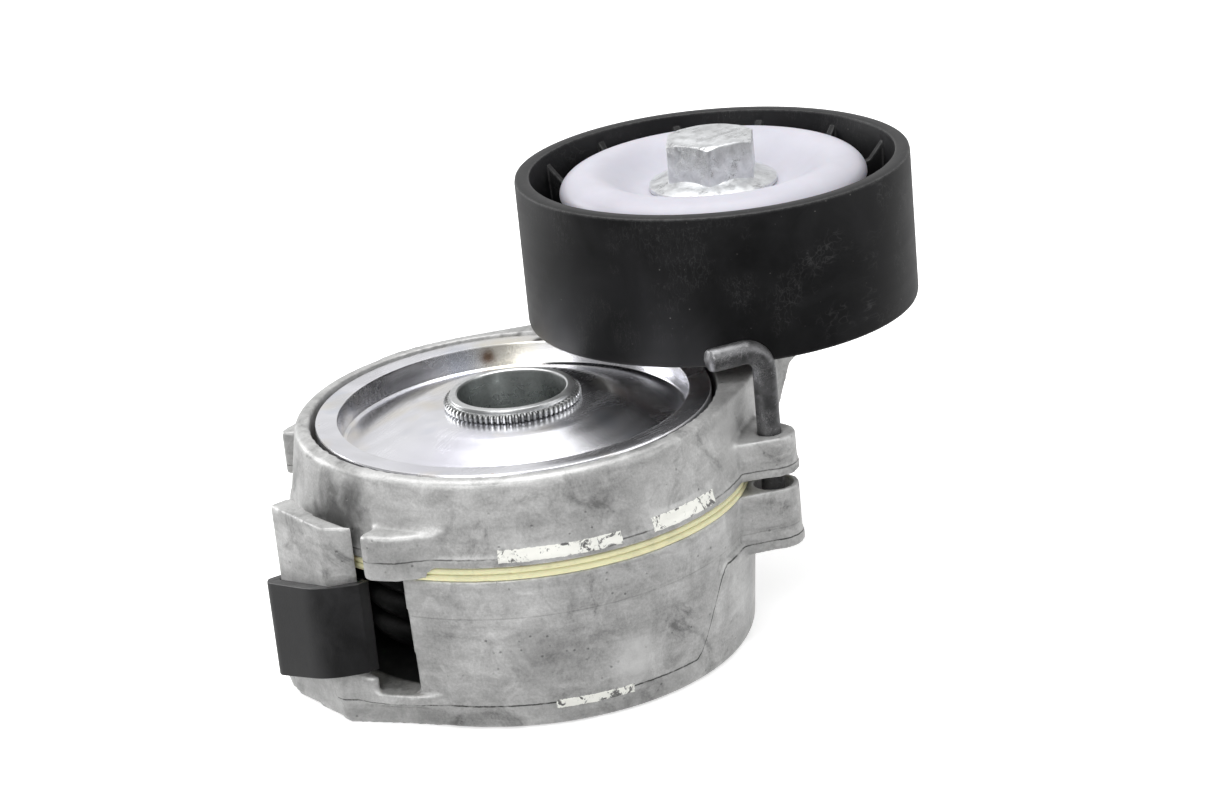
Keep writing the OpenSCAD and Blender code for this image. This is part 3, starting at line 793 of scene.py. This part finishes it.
POST_ANGLE = 176
FRICTION_Z = ring_low.z + 1.2       # the base's top edge, which carries the friction ring
ARM_Z = FRICTION_Z + 2.4
LIP_Z = ARM_Z + 1.5
PARTING_Z = 4.3
PARTING_RISE = 13.9                 # the base's parting line climbs by this to the lug
PARTING_TURN = (-86, -71)
ARM_PATCHES = ((-135.4, -105.5, LIP_Z - 0.55, LIP_Z + 1.55), (-97.0, -75.8, LIP_Z - 0.4, LIP_Z + 2.0))
BASE_PATCHES = ((-125.3, -105.2, PARTING_Z - 1.0, PARTING_Z + 0.4),)


def pin_place(wire_r):
    """Where the lock pin stands, seen along the pivot."""
    return pin_high.x - wire_r, pin_low.y + wire_r


def lug_strip(hole, low, high):
    """The lower die half's edge round a lug of the lock pin."""
    return turned("strip", pin_place(2), [(hole, low), (4.7, low), (4.7, high), (hole, high)], steps=64)


class TensionerBase(bpy.types.Operator):
    """Die-cast base housing, with its parting line climbing to the lock pin's lug"""

    bl_idname = "tensioner.base"
    bl_label = "Base Housing"

    def execute(self, context):
        sizes = context.scene.tensioner_sizes
        piece = copy_of("base_housing", "base_casting")
        top = PARTING_Z + PARTING_RISE
        join(piece, post_foot(), shelf(), die_apron(top), lug_strip(3.9, top - 1.9, top),
             *[pad(37.5, 0.62, *patch) for patch in BASE_PATCHES])
        cast(piece, sizes.cast_grain)
        lines = ((PARTING_Z, PARTING_RISE, *PARTING_TURN, 0.9), (20.2, 0, 0, 1, 0.22))
        spots = (((*polar(38.6, -103.5), 8.8), 7, 0.6, 1.9), ((*polar(38.6, -130), 12), 9, 0.3, 0.6))
        material = casting_material("Cast aluminium, base", BASE_PATCHES, lines, spots, inside=CHAMBER_R)
        finish(piece, "base", "cast_aluminium", material, "base_housing", crease=60)
        return {"FINISHED"}


def pad(radius, proud, start, end, low, high):
    """Slight pad left where flash was trimmed."""
    outline = [(radius - 1, low), (radius + proud, low), (radius + proud, high), (radius - 1, high)]
    return swept("pad", outline, start, end - start, 20)


def die_apron(top):
    """Lower die half, whose top edge climbs in an S to the lug's underside."""
    first, last, steps = -93, -38, 110
    inner, wall = 36.0, 38.05
    start, end = PARTING_TURN
    piece = swept("apron", [(inner, 1.2), (wall, 1.2), (wall, PARTING_Z), (inner, PARTING_Z)],
                  first, last - first, steps)
    for corner in piece.data.vertices:
        if corner.co.z > 0.5 * PARTING_Z * MM:
            angle = math.degrees(math.atan2(corner.co.y, corner.co.x))
            share = min(1, max(0, (angle - start) / (end - start)))
            lift = (top - PARTING_Z) * share * share * (3 - 2 * share)
            corner.co.z += lift * MM
            if math.hypot(corner.co.x, corner.co.y) > 37 * MM:
                grow = 1 + 0.098 * lift / wall
                corner.co.x *= grow
                corner.co.y *= grow
    return piece


def post_plan(inset):
    """Plan of the stop post in its own frame: flat outside, with a slanting right side."""
    return [(39.0, -11.27 + inset), (43.2 - inset, -11.27 + inset), (43.2 - inset, 4.63),
            (39.5 - inset, 8.33), (38.6, 8.33 - inset)]


def post_foot():
    """Rounded foot where the stop post stands on its flange."""
    outline = [(39.4 + 2.9 * math.cos(t), 0.4 + 9.6 * math.sin(t))
               for t in [math.radians(a) for a in range(-100, 101, 10)]]
    foot = raised("foot", outline, 5.6, 8.9)
    foot.rotation_euler.z = math.radians(POST_ANGLE)
    return clean(foot)


def shelf():
    """Low shelf that runs from the post's flange along the foot of the wall."""
    outline = [polar(36, 186), polar(42.1, 184), polar(41.6, 189), polar(40.7, 194), polar(39.5, 200),
               polar(38.4, 205), polar(37.3, 210), polar(36, 208)]
    return raised("shelf", outline, PARTING_Z - 0.3, 6.0)


class TensionerBumper(bpy.types.Operator):
    """Rubber bumper drawn over the stop post, leaning to one side"""

    bl_idname = "tensioner.bumper"
    bl_label = "Stop Bumper"

    def execute(self, context):
        inner, outer, low_side, high_side = 38.6, 45.2, -14.4, 9.9
        outside = [(inner, high_side), (inner, low_side + 0.6)]
        for step in range(33):
            share = step / 32
            near, off = max(0, 0.14 - share) / 0.14, max(0, share - 0.55) / 0.45
            across = outer - 1.6 * near ** 2 - 4.6 * off ** 2.4
            outside.append((across, low_side + (high_side - low_side) * share))
        low, high = 7.4, 23.9
        piece = raised("bumper", outside, low, high)
        combine(piece, raised("post", post_plan(0.0), 0, 40), "DIFFERENCE")
        round_edges(piece, 0.7, 3, 60)
        middle = (low + high) / 2 * MM
        for corner in piece.data.vertices:
            corner.co.z += (0.21 if corner.co.z > middle else 0.267) * corner.co.y
        piece.rotation_euler.z = math.radians(POST_ANGLE)
        clean(piece)
        finish(piece, "base", "black_rubber", rubber_material(), "stop_bumper", crease=40)
        return {"FINISHED"}


class TensionerPivot(bpy.types.Operator):
    """Hollow pivot sleeve with its knurled collar, and the bright front plate"""

    bl_idname = "tensioner.pivot"
    bl_label = "Sleeve and Front Plate"

    def execute(self, context):
        sizes = context.scene.tensioner_sizes
        top, radius, bore = sleeve_high.z, sizes.sleeve_radius, sizes.sleeve_bore
        collar, seat = plate_high.z, BOLT_SEAT
        tip = radius + 0.95
        sleeve = turned("sleeve", PIVOT, [
            (BOLT_HOLE, 0), (radius - 0.5, 0), (radius, 0.5), (radius, collar - 0.4),
            (tip - 0.35, collar + 0.02), (tip, collar + 0.35), (tip, collar + 1.05),
            (tip - 0.35, collar + 1.45), (radius, collar + 1.5),
            (radius, top - 0.45), (radius - 0.15, top - 0.12), (radius - 0.5, top), (bore + 0.35, top),
            (bore + 0.1, top - 0.15), (bore, top - 0.5), (bore, seat + 0.4), (bore - 0.4, seat),
            (BOLT_HOLE, seat),
        ], steps=sizes.knurl_teeth * 4)
        self.cut_knurl(sleeve, sizes.knurl_teeth, tip - 0.5)
        material = steel_material("Turned steel", colour_of("steel"), dark_inside=bore, collar=tip)
        finish(sleeve, "base", "turned_steel", material, "pivot_sleeve", crease=28)

        rim = plate_high.z
        floor = rim - 4.2
        outer = plate_high.x
        wall, flat = outer - 3.9, radius + 5.7
        plate = turned("plate", PIVOT, [
            (radius, rim - 2), (flat, rim - 2), (wall - 1, floor - 2), (wall + 1.6, floor - 2),
            (wall + 2, rim - 2.4), (outer - 0.4, rim - 2.4), (outer, rim - 2), (outer, rim - 0.35),
            (outer - 0.12, rim - 0.1), (outer - 0.4, rim), (wall + 0.5, rim), (wall + 0.15, rim - 0.1),
            (wall, rim - 0.4), (wall - 0.25, floor + 0.7), (wall - 0.45, floor + 0.25), (wall - 0.95, floor),
            (wall - 1.5, floor + 0.12), (flat + 0.9, rim - 0.32), (flat, rim - 0.08), (flat - 0.9, rim),
            (radius, rim),
        ], steps=200)
        finish(plate, "base", "bright_steel", plate_material(), "front_plate", crease=24)
        return {"FINISHED"}

    def cut_knurl(self, piece, teeth, valley):
        """Presses every other pair of the collar's corners in, to leave teeth."""
        only(piece)
        bpy.ops.object.mode_set(mode="EDIT")
        bpy.ops.mesh.select_mode(type="VERT")
        bpy.ops.mesh.select_all(action="DESELECT")
        shape = bmesh.from_edit_mesh(piece.data)
        for corner in shape.verts:
            turn = math.atan2(corner.co.y, corner.co.x) / (2 * math.pi)
            step = round(turn * teeth * 4) % 4
            corner.select = math.hypot(corner.co.x, corner.co.y) > valley * MM and step in (0, 3)
        shape.select_flush_mode()
        bmesh.update_edit_mesh(piece.data)
        bpy.ops.transform.resize(value=(0.958, 0.958, 1), center_override=(0, 0, 0))
        bpy.ops.object.mode_set(mode="OBJECT")


def colour_of(key):
    return getattr(bpy.context.scene.tensioner_colours, key)[:]


class TensionerFrictionRing(bpy.types.Operator):
    """Nylon friction ring that shows as two beads at the seam"""

    bl_idname = "tensioner.friction_ring"
    bl_label = "Friction Ring"

    def execute(self, context):
        foot, out, skirt = FRICTION_Z, ring_high.x, CHAMBER_R - 0.15
        top = foot + 2.35
        ring = turned("friction_ring", PIVOT, [
            (skirt - 1.25, ring_low.z), (skirt, ring_low.z), (skirt, foot), (out - 0.5, foot),
            (out - 0.12, foot + 0.15),
            (out, foot + 0.5), (out, foot + 0.85), (out - 0.1, foot + 1.05), (out - 0.38, foot + 1.18),
            (out - 0.16, foot + 1.34), (out - 0.08, foot + 1.6), (out - 0.12, foot + 2.0),
            (out - 0.3, foot + 2.24),
            (out - 0.6, top), (skirt, top), (skirt, ring_high.z), (skirt - 1.25, ring_high.z),
        ], steps=200)
        finish(ring, "base", "friction_nylon", friction_material(), "friction_ring", crease=50)
        return {"FINISHED"}


class TensionerSpring(bpy.types.Operator):
    """Round-wire torsion spring, wound with a screw"""

    bl_idname = "tensioner.spring"
    bl_label = "Torsion Spring"

    def execute(self, context):
        sizes = context.scene.tensioner_sizes
        wire_r = sizes.wire_radius
        mean = (coil_high.x - coil_low.x) / 2 - wire_r
        first = coil_low.z + wire_r
        rise = coil_high.z - wire_r - first
        deselect_all()
        bpy.ops.mesh.primitive_circle_add(
            vertices=16, radius=wire_r * MM, location=(mean * MM, 0, first * MM),
            rotation=(math.pi / 2, 0, 0))
        piece = named("spring")
        bpy.ops.object.transform_apply(location=True, rotation=True, scale=True)
        apply(piece, "SCREW", angle=math.radians(360 * sizes.coil_turns), screw_offset=rise * MM,
              steps=round(48 * sizes.coil_turns), render_steps=round(48 * sizes.coil_turns), axis="Z")
        piece.rotation_euler.z = math.radians(60)
        only(piece)
        bpy.ops.object.transform_apply(location=False, rotation=True, scale=False)
        edit_all()
        bpy.ops.mesh.fill_holes(sides=16)
        bpy.ops.object.mode_set(mode="OBJECT")
        clean(piece)
        # Near-black: the wire's own dark finish, darkened further as painted shade so that the chamber seen
        # through the base's window reads black.
        material = wire_material("Spring steel", (0.006, 0.006, 0.006), 0.5)
        finish(piece, "base", "spring_steel", material, "torsion_spring")
        return {"FINISHED"}


class TensionerArm(bpy.types.Operator):
    """Die-cast arm with its ring, beam, stop lugs and boss"""

    bl_idname = "tensioner.arm"
    bl_label = "Tensioner Arm"

    def execute(self, context):
        sizes = context.scene.tensioner_sizes
        piece = copy_of("tensioner_arm", "arm_casting")
        join(piece, lug_strip(2.9, ARM_Z + 0.05, LIP_Z), *[pad(38.9, 0.42, *patch) for patch in ARM_PATCHES])
        cast(piece, sizes.cast_grain)
        lines = ((LIP_Z + 0.1, 0, 0, 1, 0.75),)
        # The first spot is painted shade, darkening the ring wall beside the stop post. The other two are
        # lighter soft spots.
        spots = (((*polar(39.5, 181), 35.5), 11, 0.85, 0.12), ((*polar(38.5, -60), 38), 8, 0.5, 1.5),
                 ((*polar(38.5, -95), 36), 8, 0.35, 1.5))
        material = casting_material("Cast aluminium, arm", ARM_PATCHES, lines, spots)
        finish(piece, "arm", "cast_aluminium", material, "tensioner_arm", crease=60)
        return {"FINISHED"}


class TensionerPulley(bpy.types.Operator):
    """Moulded pulley: rim, web, hub and ribs"""

    bl_idname = "tensioner.pulley"
    bl_label = "Pulley Wheel"

    def execute(self, context):
        sizes = context.scene.tensioner_sizes
        low, high, radius = wheel_low.z, wheel_high.z, sizes.pulley_radius
        inner = radius - sizes.rim_wall
        bore, hub = 20, 23.8
        race_low, race_high = span("bearing_outer_race")[0].z, span("bearing_outer_race")[1].z
        web = (low + high) / 2
        body = turned("pulley", PULLEY, [
            (bore, race_low - 1), (hub, race_low - 1), (hub, web - 1.6), (inner - 0.5, web - 1.6),
            (inner, low + 0.4),
            (inner + 0.3, low), (radius - 0.6, low), (radius - 0.12, low + 0.2), (radius, low + 0.7),
            (radius, high - 0.7), (radius - 0.12, high - 0.2), (radius - 0.6, high), (inner + 0.35, high),
            (inner + 0.1, high - 0.12), (inner, high - 0.45), (inner - 0.5, web + 1.6), (hub, web + 1.6),
            (hub, race_high - 0.3), (hub - 0.3, race_high), (bore, race_high),
        ], steps=200)
        ribs = self.rib("rib", hub - 0.5, inner, web, high, race_high)
        first = ribs.data.copy()
        for number in range(1, sizes.rib_count):
            rib = bpy.data.objects.new(f"rib_{number}", first.copy())
            bpy.context.scene.collection.objects.link(rib)
            join(ribs, self.spun(rib, number * 360 / sizes.rib_count))
        bpy.data.meshes.remove(first)
        combine(body, ribs, "UNION")
        finish(body, "pulley", "black_plastic", pulley_material(), "pulley_wheel", crease=32)
        return {"FINISHED"}

    def rib(self, name, hub, inner, web, high, race_high):
        """One thin rib, from the hub to the rim, on both sides of the web."""
        outline = [(hub, web - 10), (inner + 0.6, web - 12), (inner + 0.6, high - 1.3),
                   (inner - 2.7, high - 5), (hub, race_high - 1.5)]
        piece = face_of(name, [(PULLEY[0] + x, -0.65, z) for x, z in outline])
        edit_all()
        extrude((0, 1.3 * MM, 0))
        clean(piece)
        round_edges(piece, 0.2, 2, 30)
        return self.spun(piece, 3)

    def spun(self, piece, degrees):
        """Turns a piece about the pulley's axis."""
        centre = Vector((PULLEY[0] * MM, PULLEY[1] * MM, 0))
        turn = Matrix.Rotation(math.radians(degrees), 4, "Z")
        piece.data.transform(Matrix.Translation(centre) @ turn @ Matrix.Translation(-centre))
        return piece


class TensionerCap(bpy.types.Operator):
    """White dust cap, domed at its rim and dished under the bolt"""

    bl_idname = "tensioner.cap"
    bl_label = "Dust Cap"

    def execute(self, context):
        radius, floor, crest = context.scene.tensioner_sizes.cap_radius, cap_low.z, cap_high.z
        wall, peak, dish = 0.65, radius - 5.5, 12.6
        head = floor + wall

        def height(r):
            if r > peak:
                drop = math.sqrt(max(0, 1 - ((r - peak) / (radius - peak)) ** 2))
                return floor + 1.2 + (crest - floor - 1.2) * drop
            return head + (crest - head) * (1 + math.cos(math.pi * (peak - r) / (peak - dish))) / 2

        steps = 26
        spread = [math.sin(math.pi / 2 * i / steps) for i in range(steps + 1)]
        over = [(dish + (radius - dish) * s, height(dish + (radius - dish) * s)) for s in spread]
        under = [(dish + (radius - dish - 0.8) * s, height(dish + (radius - dish - 0.4) * s) - wall)
                 for s in reversed(spread)]
        outline = [(5.05, head), *over, (radius - 0.15, floor + 1.02), *under, (5.05, floor)]
        cap = turned("cap", PULLEY, outline, steps=160)
        finish(cap, "arm", "white_plastic", cap_material(), "dust_cap", crease=40)
        return {"FINISHED"}


class TensionerBolt(bpy.types.Operator):
    """Flanged hexagon bolt through the pulley"""

    bl_idname = "tensioner.bolt"
    bl_label = "Pulley Bolt"

    def execute(self, context):
        sizes = context.scene.tensioner_sizes
        seat, top = cap_low.z + 0.65, bolt_high.z
        corner = sizes.hex_flats / 2 / math.cos(math.pi / 6)
        flange = (bolt_high.x - bolt_low.x) / 2
        deselect_all()
        bpy.ops.mesh.primitive_cylinder_add(
            vertices=6, radius=corner * MM, depth=(top - seat - 1) * MM,
            location=(PULLEY[0] * MM, 0, (top + seat + 1) / 2 * MM), rotation=(0, 0, math.radians(HEX_TURN)))
        head = clean(named("bolt"))
        round_edges(head, 0.35, 3, 50)
        cone = turned("chamfer", PULLEY, [
            (0, seat), (corner + 6, seat), (corner + 6, top - 4.1), (corner - 1.0, top - 0.12),
            (corner - 1.4, top), (0, top),
        ], steps=96)
        combine(head, cone, "INTERSECT")
        round_edges(head, 0.18, 2, 25)
        skirt = turned("skirt", PULLEY, [
            (0, seat - 21.9), (4.0, seat - 21.9), (4.95, seat - 21), (4.95, seat), (flange - 0.3, seat),
            (flange - 0.05, seat + 0.2), (flange, seat + 0.5), (flange - 0.05, seat + 0.85),
            (flange - 0.35, seat + 1.1),
            (sizes.hex_flats / 2 + 1.4, seat + 1.75), (sizes.hex_flats / 2 + 0.5, seat + 2.1),
            (sizes.hex_flats / 2 - 0.4, seat + 2.9), (0, seat + 2.9),
        ], steps=120)
        combine(skirt, head, "UNION")
        skirt.name = "pulley_hex_bolt"
        finish(skirt, "arm", "zinc_bolt", bolt_material(), "pulley_bolt", crease=30)
        return {"FINISHED"}


class TensionerPin(bpy.types.Operator):
    """Lock pin: a wire bent over at the top for a handle"""

    bl_idname = "tensioner.pin"
    bl_label = "Lock Pin"

    def execute(self, context):
        wire_r = context.scene.tensioner_sizes.pin_radius
        bend = 1.9 * wire_r
        foot, elbow = pin_low.z, pin_high.z - wire_r
        x, y = pin_place(wire_r)
        leg, heading = 10.2, math.radians(164.5)
        lean = Vector((math.cos(heading), math.sin(heading), 0))
        deselect_all()
        bpy.ops.mesh.primitive_circle_add(
            vertices=32, radius=(wire_r - 0.5) * MM, fill_type="NGON", location=(x * MM, y * MM, foot * MM))
        piece = named("pin")
        edit_all()
        for rise, radius, last in ((0.6, wire_r, wire_r - 0.5), (elbow - bend - foot - 0.6, wire_r, wire_r)):
            foot += rise
            extrude((0, 0, rise * MM))
            grow = radius / last
            bpy.ops.transform.resize(value=(grow, grow, 1), center_override=(x * MM, y * MM, foot * MM))
        hub = Vector((x, y, elbow - bend)) + lean * bend
        axis = Vector((0, 0, 1)).cross(lean)
        bpy.ops.mesh.spin(steps=14, angle=-math.pi / 2, center=hub * MM, axis=axis)
        straight = leg - bend - 0.5
        end = Vector((x, y, elbow)) + lean * (leg - 0.5)
        extrude(lean * straight * MM)
        for out, shrink in ((0.3, 0.93), (0.2, 0.84)):
            end += lean * out
            extrude(lean * out * MM)
            bpy.ops.transform.resize(value=(shrink,) * 3, center_override=end * MM)
        clean(piece)
        material = wire_material("Pin wire", colour_of("pin"))
        finish(piece, "lock_pin", "pin_steel", material, "lock_pin", crease=50)
        return {"FINISHED"}


class TensionerInnerPieces(bpy.types.Operator):
    """Finishes of the bearing, bushes and washers, which keep their frame shapes"""

    bl_idname = "tensioner.inner_pieces"
    bl_label = "Bearing and Bushes"

    def execute(self, context):
        ground = plain_material("Ground bearing steel", (0.62, 0.63, 0.64), 0.28, 1.0, 5.0)
        brass = plain_material("Cage brass", (0.60, 0.42, 0.16), 0.35, 1.0)
        seal = plain_material("Seal rubber", (0.10, 0.035, 0.025), 0.5)
        nylon = plain_material("Bush nylon", (0.55, 0.48, 0.32), 0.5, 0.0, 2.5, PIVOT)
        finishes = {
            "bearing_inner_race": ground, "bearing_outer_race": ground, "bearing_balls": ground,
            "bearing_cage": brass, "bearing_seal_front": seal, "bearing_seal_rear": seal,
            "pivot_bush": nylon, "thrust_washer": nylon, "damping_cone": nylon,
        }
        for node, material in finishes.items():
            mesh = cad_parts[node].data
            mesh.materials.clear()
            mesh.materials.append(material)
        return {"FINISHED"}


class TensionerStage(bpy.types.Operator):
    """Pale floor, soft studio light and the camera"""

    bl_idname = "tensioner.stage"
    bl_label = "Stage"

    def execute(self, context):
        self.add_floor()
        self.add_lights(context)
        self.add_camera(context)
        return {"FINISHED"}

    def add_floor(self):
        deselect_all()
        bpy.ops.mesh.primitive_plane_add(size=8, location=(0, 0, -0.0001))
        floor = named("floor")
        material, tree, shader, at = new_material("Pale floor")
        wire(tree, shader, Base_Color=(0.9, 0.9, 0.9), Roughness=0.8, Emission_Color=(1, 1, 1),
             Emission_Strength=0.5)
        floor.data.materials.append(material)
        floor.visible_glossy = False

    def add_lights(self, context):
        world = bpy.data.worlds.new("Studio")
        world.use_nodes = True
        tree = world.node_tree
        way = put(tree, "ShaderNodeTexCoord").outputs["Generated"]
        behind = put(tree, "ShaderNodeVectorMath", {0: way, 1: (0.62, 0.78, 0)}, operation="DOT_PRODUCT")
        behind = reach(tree, behind.outputs["Value"], -0.25, 0.75)
        above = reach(tree, split(tree, way)["Z"], 0.15, 0.75)
        light = plus(tree, calc(tree, "MAXIMUM", behind, above), 0.62, 0.13)
        wire(tree, tree.nodes["Background"], Color=(1, 1, 1), Strength=light)
        context.scene.world = world
        lamps = (
            ("overhead", (0.05, 0.10, 0.85), 0.70, 5.0),
            ("key", (-0.60, -0.30, 0.50), 0.50, 2.2),
            ("fill", (0.45, -0.60, 0.30), 0.50, 1.0),
            ("strip", (-0.20, 0.58, 0.22), 0.35, 1.6),
        )
        for name, place, size, power in lamps:
            bpy.ops.object.light_add(type="AREA", location=place)
            lamp = bpy.context.object
            lamp.name = name
            lamp.data.size = size
            lamp.data.energy = power
            aim = Vector((0.01, 0, 0.03)) - lamp.location
            lamp.rotation_euler = aim.to_track_quat("-Z", "Y").to_euler()

    def add_camera(self, context):
        target = Vector((-6.5, -32.6, 51.6)) * MM
        around, above, roll = math.radians(-39.75), math.radians(20.28), math.radians(-5.71)
        ahead = math.cos(above)
        forward = Vector((-math.sin(around) * ahead, math.cos(around) * ahead, -math.sin(above)))
        level = Vector((math.cos(around), math.sin(around), 0))
        upright = level.cross(forward)
        right = level * math.cos(roll) + upright * math.sin(roll)
        up = right.cross(forward)
        bpy.ops.object.camera_add(location=target - forward * 0.480)
        camera = bpy.context.object
        camera.name = "camera"
        turn = Matrix((right, up, -forward)).transposed()
        camera.rotation_euler = turn.to_euler()
        camera.data.sensor_width = 36
        camera.data.lens = 89.05
        camera.data.clip_start = 0.01
        context.scene.camera = camera
        context.scene.view_settings.view_transform = "Standard"


PIECES = (
    TensionerStage, TensionerBase, TensionerBumper, TensionerPivot, TensionerFrictionRing, TensionerSpring,
    TensionerArm, TensionerPulley, TensionerCap, TensionerBolt, TensionerPin, TensionerInnerPieces,
)


class TensionerPanel(bpy.types.Panel):
    """Lists the tensioner's sizes, colours and pieces"""

    bl_idname = "VIEW3D_PT_tensioner"
    bl_label = "Belt Tensioner"
    bl_space_type = "VIEW_3D"
    bl_region_type = "UI"
    bl_category = "Tensioner"

    def draw(self, context):
        layout = self.layout
        for settings in (context.scene.tensioner_sizes, context.scene.tensioner_colours):
            column = layout.column()
            for key in settings.__annotations__:
                column.prop(settings, key)
        for piece in PIECES:
            layout.operator(piece.bl_idname)


CLASSES = (TensionerSizes, TensionerColours, *PIECES, TensionerPanel)


def register():
    for item in CLASSES:
        bpy.utils.register_class(item)
    bpy.types.Scene.tensioner_sizes = PointerProperty(type=TensionerSizes)
    bpy.types.Scene.tensioner_colours = PointerProperty(type=TensionerColours)


def unregister():
    del bpy.types.Scene.tensioner_colours
    del bpy.types.Scene.tensioner_sizes
    for item in reversed(CLASSES):
        bpy.utils.unregister_class(item)


def main():
    register()
    for piece in PIECES:
        family, name = piece.bl_idname.split(".")
        getattr(getattr(bpy.ops, family), name)()


if __name__ == "__main__":
    main()
